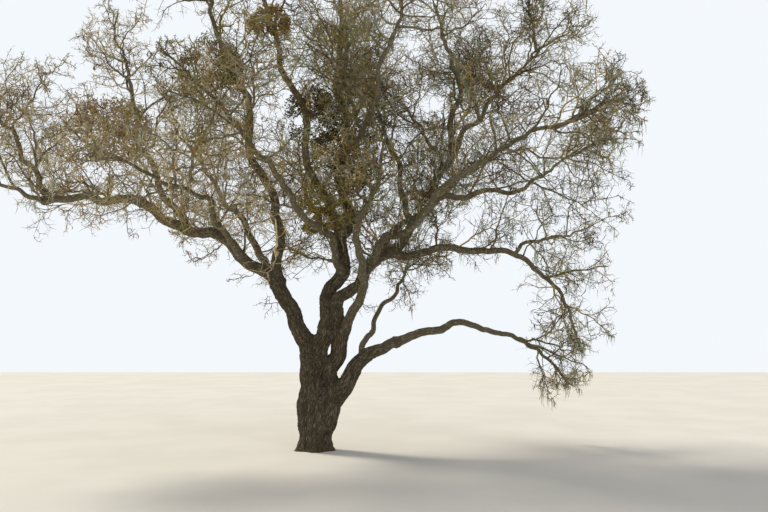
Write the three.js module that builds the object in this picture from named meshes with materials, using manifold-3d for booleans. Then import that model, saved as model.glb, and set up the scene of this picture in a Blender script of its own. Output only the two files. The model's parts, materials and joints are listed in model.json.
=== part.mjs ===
// A bare oak in winter: a short bole that forks close to the ground into three stems, crooked
// boughs that spread wider than the tree is high, masses of fine twigs at their tips, and the
// evergreen balls of mistletoe that sit on the upper boughs. Millimetres, +Z up. The origin is
// the middle of the flat cut at ground level; +X is to the right of the tree as it is seen from
// the front, and +Y is away from the front. A bearing is in degrees from +X towards +Y, and a
// climb is in degrees above the horizontal.
import * as THREE from "three";
import { mergeVertices } from "three/addons/utils/BufferGeometryUtils.js";
import Module from "manifold-3d";

const wasm = await Module();
wasm.setup();

// The clearance between two pieces that meet.
const GAP = 0.3;

// The bole, as its rings from the ground up: height, middle, half width and half depth.
const BOLE_RINGS = [
  { z: 0, x: 0, halfWidth: 345, halfDepth: 330 },
  { z: 60, x: 0, halfWidth: 305, halfDepth: 292 },
  { z: 180, x: 0, halfWidth: 276, halfDepth: 262 },
  { z: 380, x: 15, halfWidth: 280, halfDepth: 255 },
  { z: 620, x: 50, halfWidth: 325, halfDepth: 262 },
  { z: 830, x: 82, halfWidth: 345, halfDepth: 240 },
  { z: 940, x: 92, halfWidth: 300, halfDepth: 190 },
];
const BOLE_SIDES = 20;
const ROOT_LOBES = 5;
const ROOT_LOBE_DEPTH = 0.11;
const ROOT_LOBE_TURN = 0.6;
const ROOT_FLARE_TOP = 380;

// A stem's first stretch belongs to the bole, up to this height.
const STUB_TOP = 1060;

// Each limb is a row: its parent and the share of the parent's length where it leaves, or no
// parent and the point in the bole where it starts, then the bearing and climb in which it leaves,
// its tip, the bearing and climb in which it arrives there, and its radii at foot and tip.
const LIMBS = {
  left_stem: [null, [-85, 0, 430], [180, 86], [-45, 0, 1590], [0, 85], [205, 180]],
  right_stem: [null, [150, -10, 480], [0, 84], [395, -20, 2110], [0, 86], [172, 130]],
  low_bough: [null, [130, -20, 430], [-5, 78], [1480, -80, 1860], [0, 20], [200, 82]],

  left_fork: ["left_stem", 0.97, [182, 60], [-610, -60, 2960], [180, 74], [158, 122]],
  left_limb: ["left_fork", 0.97, [184, 34], [-3080, -480, 4300], [186, 24], [108, 80]],
  left_outer: ["left_limb", 0.98, [184, 14], [-4600, -650, 4290], [185, -14], [78, 58]],
  left_elbow: ["left_outer", 0.97, [180, 68], [-5130, -760, 5260], [172, 62], [55, 36]],
  left_tip: ["left_outer", 0.98, [190, 8], [-5250, -940, 4500], [186, 10], [44, 30]],
  left_rise: ["left_limb", 0.68, [176, 62], [-3230, -360, 5800], [160, 78], [66, 42]],
  left_front: ["left_limb", 0.3, [246, 26], [-1780, -1880, 4180], [244, -6], [62, 38]],
  left_back: ["left_fork", 0.8, [138, 42], [-2270, 1760, 5070], [140, 44], [84, 46]],
  left_upper: ["left_fork", 0.98, [150, 80], [-1770, 220, 7150], [176, 66], [98, 52]],

  leader: ["left_stem", 0.97, [12, 70], [500, 140, 3960], [10, 84], [147, 112]],
  top_bough: ["leader", 0.98, [60, 84], [340, 420, 7350], [160, 84], [104, 54]],
  centre_left: ["leader", 0.93, [196, 52], [-670, -1130, 7200], [200, 66], [80, 44]],
  back_high: ["top_bough", 0.34, [96, 46], [480, 1990, 6710], [88, 44], [70, 42]],
  front_high: ["top_bough", 0.26, [262, 48], [1100, -1570, 5940], [284, 50], [66, 40]],
  centre_back: ["leader", 0.82, [100, 38], [-400, 2590, 4850], [96, 26], [86, 46]],
  centre_front: ["leader", 0.66, [256, 46], [-610, -2100, 4620], [250, 24], [74, 42]],

  right_limb: ["right_stem", 0.98, [176, 86], [1300, 100, 3540], [2, 44], [118, 92]],
  right_fork: ["right_stem", 0.9, [-22, 26], [780, -1200, 3810], [284, 60], [98, 52]],
  right_rise: ["right_limb", 0.97, [2, 36], [2480, 120, 5440], [4, 60], [88, 62]],
  right_arch: ["right_limb", 0.96, [-12, -6], [3580, -630, 3290], [-6, -30], [80, 44]],
  right_back: ["right_limb", 0.58, [62, 44], [2200, 1950, 4790], [52, 30], [76, 44]],
  right_front: ["right_limb", 0.72, [-56, 40], [2750, -2000, 4700], [-38, 26], [74, 42]],
  right_inner: ["right_rise", 0.32, [182, 48], [1450, -210, 5120], [188, 62], [60, 38]],
  right_high: ["right_rise", 0.97, [10, 84], [2390, 60, 7300], [150, 72], [60, 40]],
  right_out: ["right_rise", 0.95, [-4, 44], [3260, 70, 6370], [-2, 40], [54, 36]],
  right_mid: ["right_rise", 0.52, [-8, 30], [3700, 370, 4720], [6, 16], [62, 38]],

  low_outer: ["low_bough", 0.97, [2, 26], [3420, 380, 2010], [6, -22], [80, 46]],
  low_rise: ["low_bough", 0.52, [40, 64], [1410, 1030, 2800], [44, 44], [60, 36]],
};

// The twigs of each outer bough fill a round space. Lift is 1 where they turn upwards as they
// grow, and below 0 where they hang.
const MASSES = {
  left_tip: { radius: 900, lift: 0.4 },
  left_elbow: { radius: 1080, lift: 0.6 },
  left_rise: { radius: 1350, lift: 1 },
  left_front: { radius: 1450, lift: -1 },
  left_back: { radius: 1700, lift: 0 },
  left_upper: { radius: 1500, lift: 1 },
  top_bough: { radius: 1450, lift: 1 },
  centre_left: { radius: 1400, lift: 1 },
  back_high: { radius: 1600, lift: 1 },
  front_high: { radius: 1500, lift: 1 },
  centre_back: { radius: 1650, lift: 0.3 },
  centre_front: { radius: 1500, lift: -0.5 },
  right_fork: { radius: 1000, lift: 0.5 },
  right_inner: { radius: 1050, lift: 1 },
  right_back: { radius: 1650, lift: 0 },
  right_front: { radius: 1600, lift: -0.2 },
  right_high: { radius: 1450, lift: 1 },
  right_out: { radius: 1450, lift: 1 },
  right_mid: { radius: 1350, lift: 0.3 },
  right_arch: { radius: 1250, lift: -1 },
  low_outer: { radius: 1100, lift: -1 },
  low_rise: { radius: 1050, lift: 0 },
};

// A mistletoe ball sits on a bough, on the side of it that its bearing and climb give.
const MISTLETOE = [
  { name: "mistletoe_left", on: "left_rise", at: 0.84, side: [190, 12], radius: 680 },
  { name: "mistletoe_upper_left", on: "left_upper", at: 0.9, side: [200, 0], radius: 700 },
  { name: "mistletoe_top", on: "centre_left", at: 0.97, side: [250, -5], radius: 370 },
  { name: "mistletoe_dark", on: "centre_left", at: 0.6, side: [70, 10], radius: 540 },
  { name: "mistletoe_centre", on: "top_bough", at: 0.36, side: [290, -10], radius: 600 },
  { name: "mistletoe_low", on: "centre_left", at: 0.12, side: [235, 10], radius: 480 },
];

// A limb's rings are about a step apart. It wanders off its curve by a share of its length, in two
// waves, and has a collar where it leaves its parent. Sides: least foot radius, number of sides.
const LIMB_STEP = 420;
const LIMB_MEASURE_STEPS = 48;
const LIMB_WANDER = 0.032;
const WANDER_WAVES = [1.4, 1.9];
const COLLAR = 0.3;
const COLLAR_REACH = 1.6;
const LIMB_SIDES = [[130, 10], [75, 7], [0, 6]];

// How twigs branch, one entry for each order: the stem that carries a mass on, its branches and
// their twigs. A twig keeps to its own space, clear of the limbs and of the mistletoe.
const TWIG_JOINTS = [5, 3, 2];
const TWIG_CHILDREN = [8, 6];
const TWIG_LENGTH_SHARE = [0.66, 0.52];
const TWIG_CROOK = [0.2, 0.34, 0.42];
const TWIG_LIFT = [0.1, 0.08, 0.05];
const TWIG_SIDES = [4, 3, 3];
const TWIG_GIRTH_SHARE = 0.6;
const TWIG_TIP_SHARE = 0.35;
const FIRST_CHILD_AT = 0.14;
const CHILD_LEAN = [34, 68];
const GOLDEN_ANGLE = 137.5;
// A child is longer near its parent's foot, and varies by chance.
const LENGTH_AT_FOOT = 1.2;
const LENGTH_LOST_TO_TIP = 0.6;
const LENGTH_CHANCE = [0.8, 1.2];
// The lengths that are tried for a twig, as shares of its full one.
const TWIG_CUTS = [1, 0.74, 0.52, 0.36];
const LEAST_OUTER_TWIG = 260;
const STEM_REACH = 1.5;
const MASS_LEAD = 0.62;
const SPACE_MARGIN = 0.045;
const LIMB_CLEARANCE = 12;
const MISTLETOE_CLEARANCE = 30;

// A ball's middle stands off its bough by a share of its radius. Its core has knobs, and flat
// sprays stand out of it.
const MISTLETOE_LEAN = 0.72;
const MISTLETOE_CORE = 0.66;
const KNOB_SIZE = 80;
const KNOB_DEPTH = 0.1;
const MISTLETOE_SPRAYS = 11;
const SPRAY_LENGTH = 0.6;
const SPRAY_WIDTH = 0.2;
const SPRAY_THICKNESS = 0.04;
const TWIG_CLEARANCE = 4;
const POINT_LENGTHENING = 4;

// The numbers that scramble() and chance() multiply by, and a twig's first draw for its joints.
const FIRST_MIX = 0x7feb352d;
const SECOND_MIX = 0x846ca68b;
const DRAW_STRIDE = 0x9e3779b9;
const CHILD_STRIDE = 0x632be5ab;
const CROOK_DRAWS = 10;

const BARK = new THREE.MeshStandardMaterial({ color: 0x6d6257, roughness: 0.92, metalness: 0 });
const TWIG_BARK = new THREE.MeshStandardMaterial({ color: 0x7c6f5d, roughness: 0.88, metalness: 0 });
const LEAF = new THREE.MeshStandardMaterial({ color: 0x6c6b35, roughness: 0.7, metalness: 0 });

// A whole number to a scrambled one of 32 bits, the same each time.
function scramble(n) {
  const first = Math.imul(n ^ (n >>> 16), FIRST_MIX);
  const second = Math.imul(first ^ (first >>> 15), SECOND_MIX);
  return (second ^ (second >>> 16)) >>> 0;
}

// A twig's or a limb's draw of that number: from 0 up to 1, or between two ends.
function chance(id, draw, [low, high] = [0, 1]) {
  return low + ((high - low) * scramble((id + Math.imul(draw, DRAW_STRIDE)) >>> 0)) / 2 ** 32;
}

function heading([bearing, climb]) {
  const b = THREE.MathUtils.degToRad(bearing);
  const c = THREE.MathUtils.degToRad(climb);
  return new THREE.Vector3(Math.cos(b) * Math.cos(c), Math.sin(b) * Math.cos(c), Math.sin(c));
}

// Two directions square to the given one.
function squareTo(direction) {
  const steep = Math.abs(direction.z) >= 0.9;
  const helper = steep ? new THREE.Vector3(1, 0, 0) : new THREE.Vector3(0, 0, 1);
  const u = helper.cross(direction).normalize();
  return [u, direction.clone().cross(u)];
}

// A limb's line: a cubic curve from foot to tip, with a wander that is nil at both ends.
function limbLine(foot, leave, tip, arrive, number) {
  const chord = tip.clone().sub(foot);
  const pull = chord.length() / 3;
  const curve = new THREE.CubicBezierCurve3(
    foot,
    foot.clone().addScaledVector(heading(leave), pull),
    tip.clone().addScaledVector(heading(arrive), -pull),
    tip,
  );
  const [u, v] = squareTo(chord.clone().normalize());
  const line = [];
  for (let i = 0; i <= LIMB_MEASURE_STEPS; i++) {
    const t = i / LIMB_MEASURE_STEPS;
    const swing = LIMB_WANDER * chord.length() * Math.sin(Math.PI * t);
    const waves = WANDER_WAVES.map((wave, i) => Math.sin(2 * Math.PI * (wave * t + chance(number, i + 1))));
    line.push(curve.getPoint(t).addScaledVector(u, swing * waves[0]).addScaledVector(v, swing * waves[1]));
  }
  return line;
}

// A line's point and direction at a share of its way from foot to tip.
function pointAt(line, share) {
  const place = Math.min(Math.max(share, 0), 1) * (line.length - 1);
  const i = Math.min(Math.floor(place), line.length - 2);
  return line[i].clone().lerp(line[i + 1], place - i);
}

function directionAt(line, share) {
  const half = 0.5 / (line.length - 1);
  return pointAt(line, share + half).sub(pointAt(line, share - half)).normalize();
}

function limbRadius(limb, share) {
  const [foot, tip] = limb.radii;
  const collar = limb.on ? 1 + COLLAR * Math.exp((-share * limb.length) / (COLLAR_REACH * foot)) : 1;
  return (foot + (tip - foot) * share) * collar;
}

// Two directions square to the line at each of its points, which turn as little as they can.
function lineFrames(points) {
  const frames = [];
  let side = null;
  points.forEach((point, i) => {
    const before = points[Math.max(i - 1, 0)];
    const after = points[Math.min(i + 1, points.length - 1)];
    const along = after.clone().sub(before).normalize();
    side = side ? side.clone().addScaledVector(along, -side.dot(along)).normalize() : squareTo(along)[0];
    frames.push({ u: side, v: side.clone().cross(along) });
  });
  return frames;
}

// A closed solid swept along the points. reach(step, angle) is how far it stands from the line,
// and a pointed sweep ends in a point.
function sweep(points, sides, reach, pointed = false) {
  const steps = points.length - 1;
  const geometry = new THREE.CylinderGeometry(pointed ? 0 : 1, 1, steps, sides, steps);
  const frames = lineFrames(points);
  const at = geometry.attributes.position;
  for (let i = 0; i < at.count; i++) {
    const step = Math.round(at.getY(i) + steps / 2);
    const { u, v } = frames[step];
    const placed = points[step].clone();
    if (Math.hypot(at.getX(i), at.getZ(i)) > 1e-6) {
      const angle = Math.atan2(at.getZ(i), at.getX(i));
      const far = reach(step, angle);
      placed.addScaledVector(u, far * Math.cos(angle)).addScaledVector(v, far * Math.sin(angle));
    }
    at.setXYZ(i, placed.x, placed.y, placed.z);
  }
  return solid(geometry);
}

// A closed geometry as a solid that can be joined and cut.
function solid(geometry) {
  geometry.deleteAttribute("normal");
  geometry.deleteAttribute("uv");
  const merged = mergeVertices(geometry, 1e-3);
  const triVerts = new Uint32Array(merged.index.array);
  const vertProperties = new Float32Array(merged.attributes.position.array);
  return new wasm.Manifold(new wasm.Mesh({ numProp: 3, vertProperties, triVerts }));
}

// The largest body of a solid as a named mesh: a cut can leave crumbs behind.
function mesh(name, made, material) {
  const { vertProperties, triVerts, numProp } = largest(made).getMesh();
  const points = new Float32Array((vertProperties.length / numProp) * 3);
  for (let i = 0; i < points.length / 3; i++) {
    points.set(vertProperties.subarray(i * numProp, i * numProp + 3), i * 3);
  }
  const geometry = new THREE.BufferGeometry();
  geometry.setAttribute("position", new THREE.BufferAttribute(points, 3));
  geometry.setIndex(new THREE.BufferAttribute(new Uint32Array(triVerts), 1));
  geometry.computeVertexNormals();
  const named = new THREE.Mesh(geometry, material);
  named.name = name;
  return named;
}

function largest(made) {
  return made.decompose().sort((a, b) => b.volume() - a.volume())[0];
}

// A solid with each cutter that reaches into it taken away.
function cutClear(made, cutters) {
  const reaching = cutters.filter((cutter) => made.intersect(cutter).volume() > 0);
  return reaching.reduce((left, cutter) => left.subtract(cutter), made);
}

// A limb between two shares of its length, made wider all round by grow.
function limbSolid(limb, start = 0, end = 1, grow = 0) {
  const steps = Math.max(2, Math.round(((end - start) * limb.length) / LIMB_STEP));
  const shareOf = (step) => start + ((end - start) * step) / steps;
  const points = Array.from({ length: steps + 1 }, (_, step) => pointAt(limb.line, shareOf(step)));
  if (grow) {
    points[0].addScaledVector(directionAt(limb.line, start), -grow);
    points[steps].addScaledVector(directionAt(limb.line, end), grow);
  }
  const sides = LIMB_SIDES.find(([least]) => limb.radii[0] > least)[1];
  const across = grow / Math.cos(Math.PI / sides);
  return sweep(points, sides, (step) => limbRadius(limb, shareOf(step)) + across);
}

// The bole's own solid, with lobes at its foot where the roots leave.
function boleSolid(grow = 0) {
  const points = BOLE_RINGS.map(({ x, z }) => new THREE.Vector3(x, 0, z));
  return sweep(points, BOLE_SIDES, (step, angle) => {
    const { z, halfWidth, halfDepth } = BOLE_RINGS[step];
    const round = 1 / Math.hypot(Math.cos(angle) / halfDepth, Math.sin(angle) / halfWidth);
    const low = Math.max(0, 1 - z / ROOT_FLARE_TOP);
    return round * (1 + ROOT_LOBE_DEPTH * low * Math.cos(ROOT_LOBES * angle + ROOT_LOBE_TURN)) + grow;
  });
}

// The nearest that a point comes to a limb's skin.
function clearOfLimb(point, limb) {
  const away = limb.line.map((p, i) => p.distanceTo(point) - limbRadius(limb, i / LIMB_MEASURE_STEPS));
  return Math.min(...away);
}

// A twig's points: it turns a little at each joint, by the draws of its own number.
function twigPoints({ order, id, start, direction }, length, lift) {
  const points = [start.clone()];
  const along = direction.clone();
  for (let joint = 0; joint < TWIG_JOINTS[order]; joint++) {
    const turn = [0, 1, 2].map((axis) => chance(id, CROOK_DRAWS + 3 * joint + axis, [-1, 1]));
    along.addScaledVector(new THREE.Vector3(...turn), TWIG_CROOK[order]);
    along.z += lift * TWIG_LIFT[order];
    along.normalize();
    points.push(points[joint].clone().addScaledVector(along, length / TWIG_JOINTS[order]));
  }
  return points;
}

function twigRadius(twig, share) {
  return twig.girth * (1 - (1 - TWIG_TIP_SHARE) * share);
}

// Where child number k of a twig starts, which way it goes, and its size.
function childOf(twig, k) {
  const count = TWIG_CHILDREN[twig.order];
  const id = scramble((twig.id + Math.imul(k + 1, CHILD_STRIDE)) >>> 0);
  const share = FIRST_CHILD_AT + ((1 - FIRST_CHILD_AT) * (k + chance(id, 1))) / count;
  const along = directionAt(twig.points, share);
  const [u, v] = squareTo(along);
  const round = THREE.MathUtils.degToRad(GOLDEN_ANGLE * k + 360 * chance(twig.id, 3));
  const lean = THREE.MathUtils.degToRad(chance(id, 2, CHILD_LEAN));
  const direction = along
    .multiplyScalar(Math.cos(lean))
    .addScaledVector(u, Math.sin(lean) * Math.cos(round))
    .addScaledVector(v, Math.sin(lean) * Math.sin(round));
  const fromFoot = LENGTH_AT_FOOT - LENGTH_LOST_TO_TIP * share;
  return {
    id,
    order: twig.order + 1,
    start: pointAt(twig.points, share),
    direction,
    length: twig.length * TWIG_LENGTH_SHARE[twig.order] * fromFoot * chance(id, 4, LENGTH_CHANCE),
    girth: twigRadius(twig, share) * TWIG_GIRTH_SHARE,
  };
}

// A mass's space is a ball, as far as the places that are nearer to it than to any other mass.
function inSpace(point, space, spaces) {
  const own = point.distanceTo(space.centre) / space.radius;
  if (own > 1) return false;
  return spaces.every((s) => s === space || point.distanceTo(s.centre) / s.radius > own + SPACE_MARGIN);
}

// A twig fits where its joints, and the points half way between them, all do.
function fits(twig, space, scene) {
  const joints = twig.points.slice(1);
  const halfWay = joints.map((joint, i) => joint.clone().lerp(twig.points[i], 0.5));
  return [...joints, ...halfWay].every((point) => {
    if (!inSpace(point, space, scene.spaces)) return false;
    if (scene.balls.some((b) => point.distanceTo(b.centre) < b.radius + MISTLETOE_CLEARANCE)) return false;
    return scene.limbs.every((limb) => clearOfLimb(point, limb) > twig.girth + LIMB_CLEARANCE);
  });
}

// A twig of full length, or a shorter one where that doesn't fit, or none.
function grown(sprout, space, scene) {
  for (const cut of TWIG_CUTS) {
    const length = sprout.length * cut;
    const points = twigPoints(sprout, length, space.lift);
    const twig = { ...sprout, length, points };
    if (fits(twig, space, scene)) return twig;
  }
  return null;
}

// A twig made wider all round by grow, and longer by more, since it ends in a point.
function twigSolid(twig, grow = 0) {
  const steps = twig.points.length - 1;
  const points = twig.points.map((point) => point.clone());
  points[0].addScaledVector(directionAt(points, 0), -grow);
  points[steps].addScaledVector(directionAt(points, 1), POINT_LENGTHENING * grow);
  return sweep(points, TWIG_SIDES[twig.order], (i) => twigRadius(twig, i / steps) + grow, true);
}

// All the twigs of a mass: its stem, the stem's branches, and the outermost twig of each branch.
function massTwigs(space, scene) {
  const { limb } = space;
  const direction = directionAt(limb.line, 1);
  const stem = {
    id: scramble(space.number),
    order: 0,
    start: limb.line.at(-1).clone().addScaledVector(direction, GAP),
    direction,
    length: space.radius * STEM_REACH,
    girth: limb.radii[1],
  };
  stem.points = twigPoints(stem, stem.length, space.lift);
  const twigs = [stem];
  for (let k = 0; k < TWIG_CHILDREN[0]; k++) {
    const branch = grown(childOf(stem, k), space, scene);
    if (!branch) continue;
    twigs.push(branch);
    const outer = grown(childOf(branch, TWIG_CHILDREN[1] - 1), space, scene);
    if (outer && outer.length > LEAST_OUTER_TWIG) twigs.push(outer);
  }
  return twigs;
}

// A mistletoe ball: a knobbly core with flat sprays that stand out of it on all sides.
function mistletoeSolid(ball) {
  const core = new THREE.IcosahedronGeometry(ball.radius * MISTLETOE_CORE, 1);
  const at = core.attributes.position;
  const v = new THREE.Vector3();
  for (let i = 0; i < at.count; i++) {
    v.fromBufferAttribute(at, i);
    const level = Math.sin(v.x / KNOB_SIZE + ball.number) * Math.sin(v.y / KNOB_SIZE);
    const knob = level + Math.sin(v.z / KNOB_SIZE);
    v.multiplyScalar(1 + KNOB_DEPTH * knob).add(ball.centre);
    at.setXYZ(i, v.x, v.y, v.z);
  }
  let made = solid(core);
  for (let k = 0; k < MISTLETOE_SPRAYS; k++) {
    const height = 1 - (2 * (k + 0.5)) / MISTLETOE_SPRAYS;
    const around = THREE.MathUtils.degToRad(GOLDEN_ANGLE * k);
    const level = Math.sqrt(1 - height * height);
    const out = new THREE.Vector3(level * Math.cos(around), level * Math.sin(around), height);
    const spray = new THREE.OctahedronGeometry(1, 0);
    spray.scale(SPRAY_WIDTH * ball.radius, (SPRAY_LENGTH * ball.radius) / 2, SPRAY_THICKNESS * ball.radius);
    spray.rotateY(2 * Math.PI * chance(ball.number, k));
    spray.applyQuaternion(new THREE.Quaternion().setFromUnitVectors(new THREE.Vector3(0, 1, 0), out));
    const far = ball.radius * (1 - SPRAY_LENGTH / 2);
    spray.translate(...ball.centre.clone().addScaledVector(out, far).toArray());
    made = made.add(solid(spray));
  }
  return made;
}

// The limbs' lines, each from its parent's.
const limbs = [];
const limbNamed = (name) => limbs.find((limb) => limb.name === name);
Object.entries(LIMBS).forEach(([name, [on, start, leave, to, arrive, radii]], i) => {
  const foot = on ? pointAt(limbNamed(on).line, start) : new THREE.Vector3(...start);
  const line = limbLine(foot, leave, new THREE.Vector3(...to), arrive, i + 1);
  const length = line.slice(1).reduce((sum, point, j) => sum + point.distanceTo(line[j]), 0);
  limbs.push({ name, on, line, length, radii });
});

// The spaces that the masses fill, and the mistletoe balls.
const spaces = Object.entries(MASSES).map(([name, { radius, lift }], i) => {
  const limb = limbNamed(name);
  const centre = limb.line.at(-1).clone().addScaledVector(directionAt(limb.line, 1), MASS_LEAD * radius);
  return { name: name + "_twigs", number: i + 1, limb, centre, radius, lift };
});
const balls = MISTLETOE.map((ball, i) => {
  const seat = pointAt(limbNamed(ball.on).line, ball.at);
  const centre = seat.addScaledVector(heading(ball.side), ball.radius * MISTLETOE_LEAN);
  return { ...ball, number: i + 1, centre };
});
const scene = { limbs, spaces, balls };

const tree = new THREE.Group();

// The trunk, with the foot of each stem that rises from it.
let trunk = boleSolid();
const stems = limbs.filter((limb) => !limb.on);
stems.forEach((stem) => {
  stem.start = stem.line.findIndex((point) => point.z > STUB_TOP) / LIMB_MEASURE_STEPS;
  trunk = trunk.add(limbSolid(stem, 0, stem.start));
});
tree.add(mesh("trunk", trunk, BARK));

// Each limb is cut clear of the trunk and of the limbs before it.
const wideStubs = stems.map((stem) => limbSolid(stem, 0, stem.start, GAP));
const placed = [wideStubs.reduce((sum, stub) => sum.add(stub), boleSolid(GAP))];
limbs.forEach((limb) => {
  limb.wide = limbSolid(limb, limb.start ?? 0, 1, GAP);
  tree.add(mesh(limb.name, cutClear(limbSolid(limb, limb.start ?? 0), placed), BARK));
  placed.push(limb.wide);
});

// The masses of twigs, each cut clear of its bough.
const cutters = limbs.map((limb) => limb.wide);
spaces.forEach((space) => {
  const twigs = massTwigs(space, scene);
  const made = twigs.map((twig) => twigSolid(twig)).reduce((sum, s) => sum.add(s));
  tree.add(mesh(space.name, made.subtract(space.limb.wide), TWIG_BARK));
  cutters.push(twigSolid(twigs[0], TWIG_CLEARANCE));
});

// The mistletoe, cut clear of the limbs and stems that it grows round.
balls.forEach((ball) => tree.add(mesh(ball.name, cutClear(mistletoeSolid(ball), cutters), LEAF)));

export default tree;
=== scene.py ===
"""The bare winter oak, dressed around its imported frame.

The trunk and boughs become one barked skin whose crotches flow together. Each mass becomes
crooked twigs that branch by the rule of the part's source, carried on to the finest ones.
Mistletoe, lace lichen and the last dead leaves come on top. Metres, +Z up. A bearing is in
degrees from +X towards +Y, and a climb in degrees above the horizontal.
"""

import json
import logging
import math
from dataclasses import dataclass, field
from enum import Enum, IntEnum

import bmesh
import bpy
import numpy as np
from mathutils import Matrix, Vector

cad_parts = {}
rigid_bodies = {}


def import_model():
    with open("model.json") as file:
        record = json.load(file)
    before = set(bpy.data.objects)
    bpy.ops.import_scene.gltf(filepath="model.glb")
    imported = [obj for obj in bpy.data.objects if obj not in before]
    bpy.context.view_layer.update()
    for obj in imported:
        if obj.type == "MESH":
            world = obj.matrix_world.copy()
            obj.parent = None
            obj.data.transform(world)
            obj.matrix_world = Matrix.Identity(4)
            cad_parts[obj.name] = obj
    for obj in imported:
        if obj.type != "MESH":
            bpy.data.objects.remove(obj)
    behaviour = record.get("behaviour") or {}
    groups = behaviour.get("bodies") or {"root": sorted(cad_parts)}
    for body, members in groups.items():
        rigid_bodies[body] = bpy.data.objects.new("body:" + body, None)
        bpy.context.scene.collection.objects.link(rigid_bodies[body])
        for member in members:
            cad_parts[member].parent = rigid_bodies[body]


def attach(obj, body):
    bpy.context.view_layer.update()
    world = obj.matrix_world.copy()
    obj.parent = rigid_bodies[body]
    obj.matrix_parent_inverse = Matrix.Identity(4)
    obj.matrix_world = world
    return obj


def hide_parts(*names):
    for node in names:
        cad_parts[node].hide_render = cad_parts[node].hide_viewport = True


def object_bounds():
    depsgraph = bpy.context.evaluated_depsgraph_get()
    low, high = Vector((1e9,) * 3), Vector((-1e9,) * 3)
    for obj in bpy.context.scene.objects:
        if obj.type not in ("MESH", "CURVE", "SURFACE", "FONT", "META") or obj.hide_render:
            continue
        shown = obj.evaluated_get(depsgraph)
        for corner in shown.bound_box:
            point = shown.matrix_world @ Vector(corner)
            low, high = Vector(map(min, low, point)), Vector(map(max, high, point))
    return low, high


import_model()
CAD_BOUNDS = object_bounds()

Array = np.ndarray
BMesh = bmesh.types.BMesh
Material = bpy.types.Material
NodeSocket = bpy.types.NodeSocket

log = logging.getLogger("oak")


class Region(Enum):
    """The part of the tree that a limb and its twigs are joined with."""

    BOLE = "bole"
    STEMS = "stems"
    LEFT = "left"
    CENTRE = "centre"
    RIGHT = "right"


@dataclass(frozen=True)
class Limb:
    """A limb as the part's source gives it: where it leaves, how it arrives, and how thick it is."""

    name: str
    parent: str | None
    start: float | tuple[float, float, float]
    leave: tuple[float, float]
    tip: tuple[float, float, float]
    arrive: tuple[float, float]
    radii: tuple[float, float]
    region: Region


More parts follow.
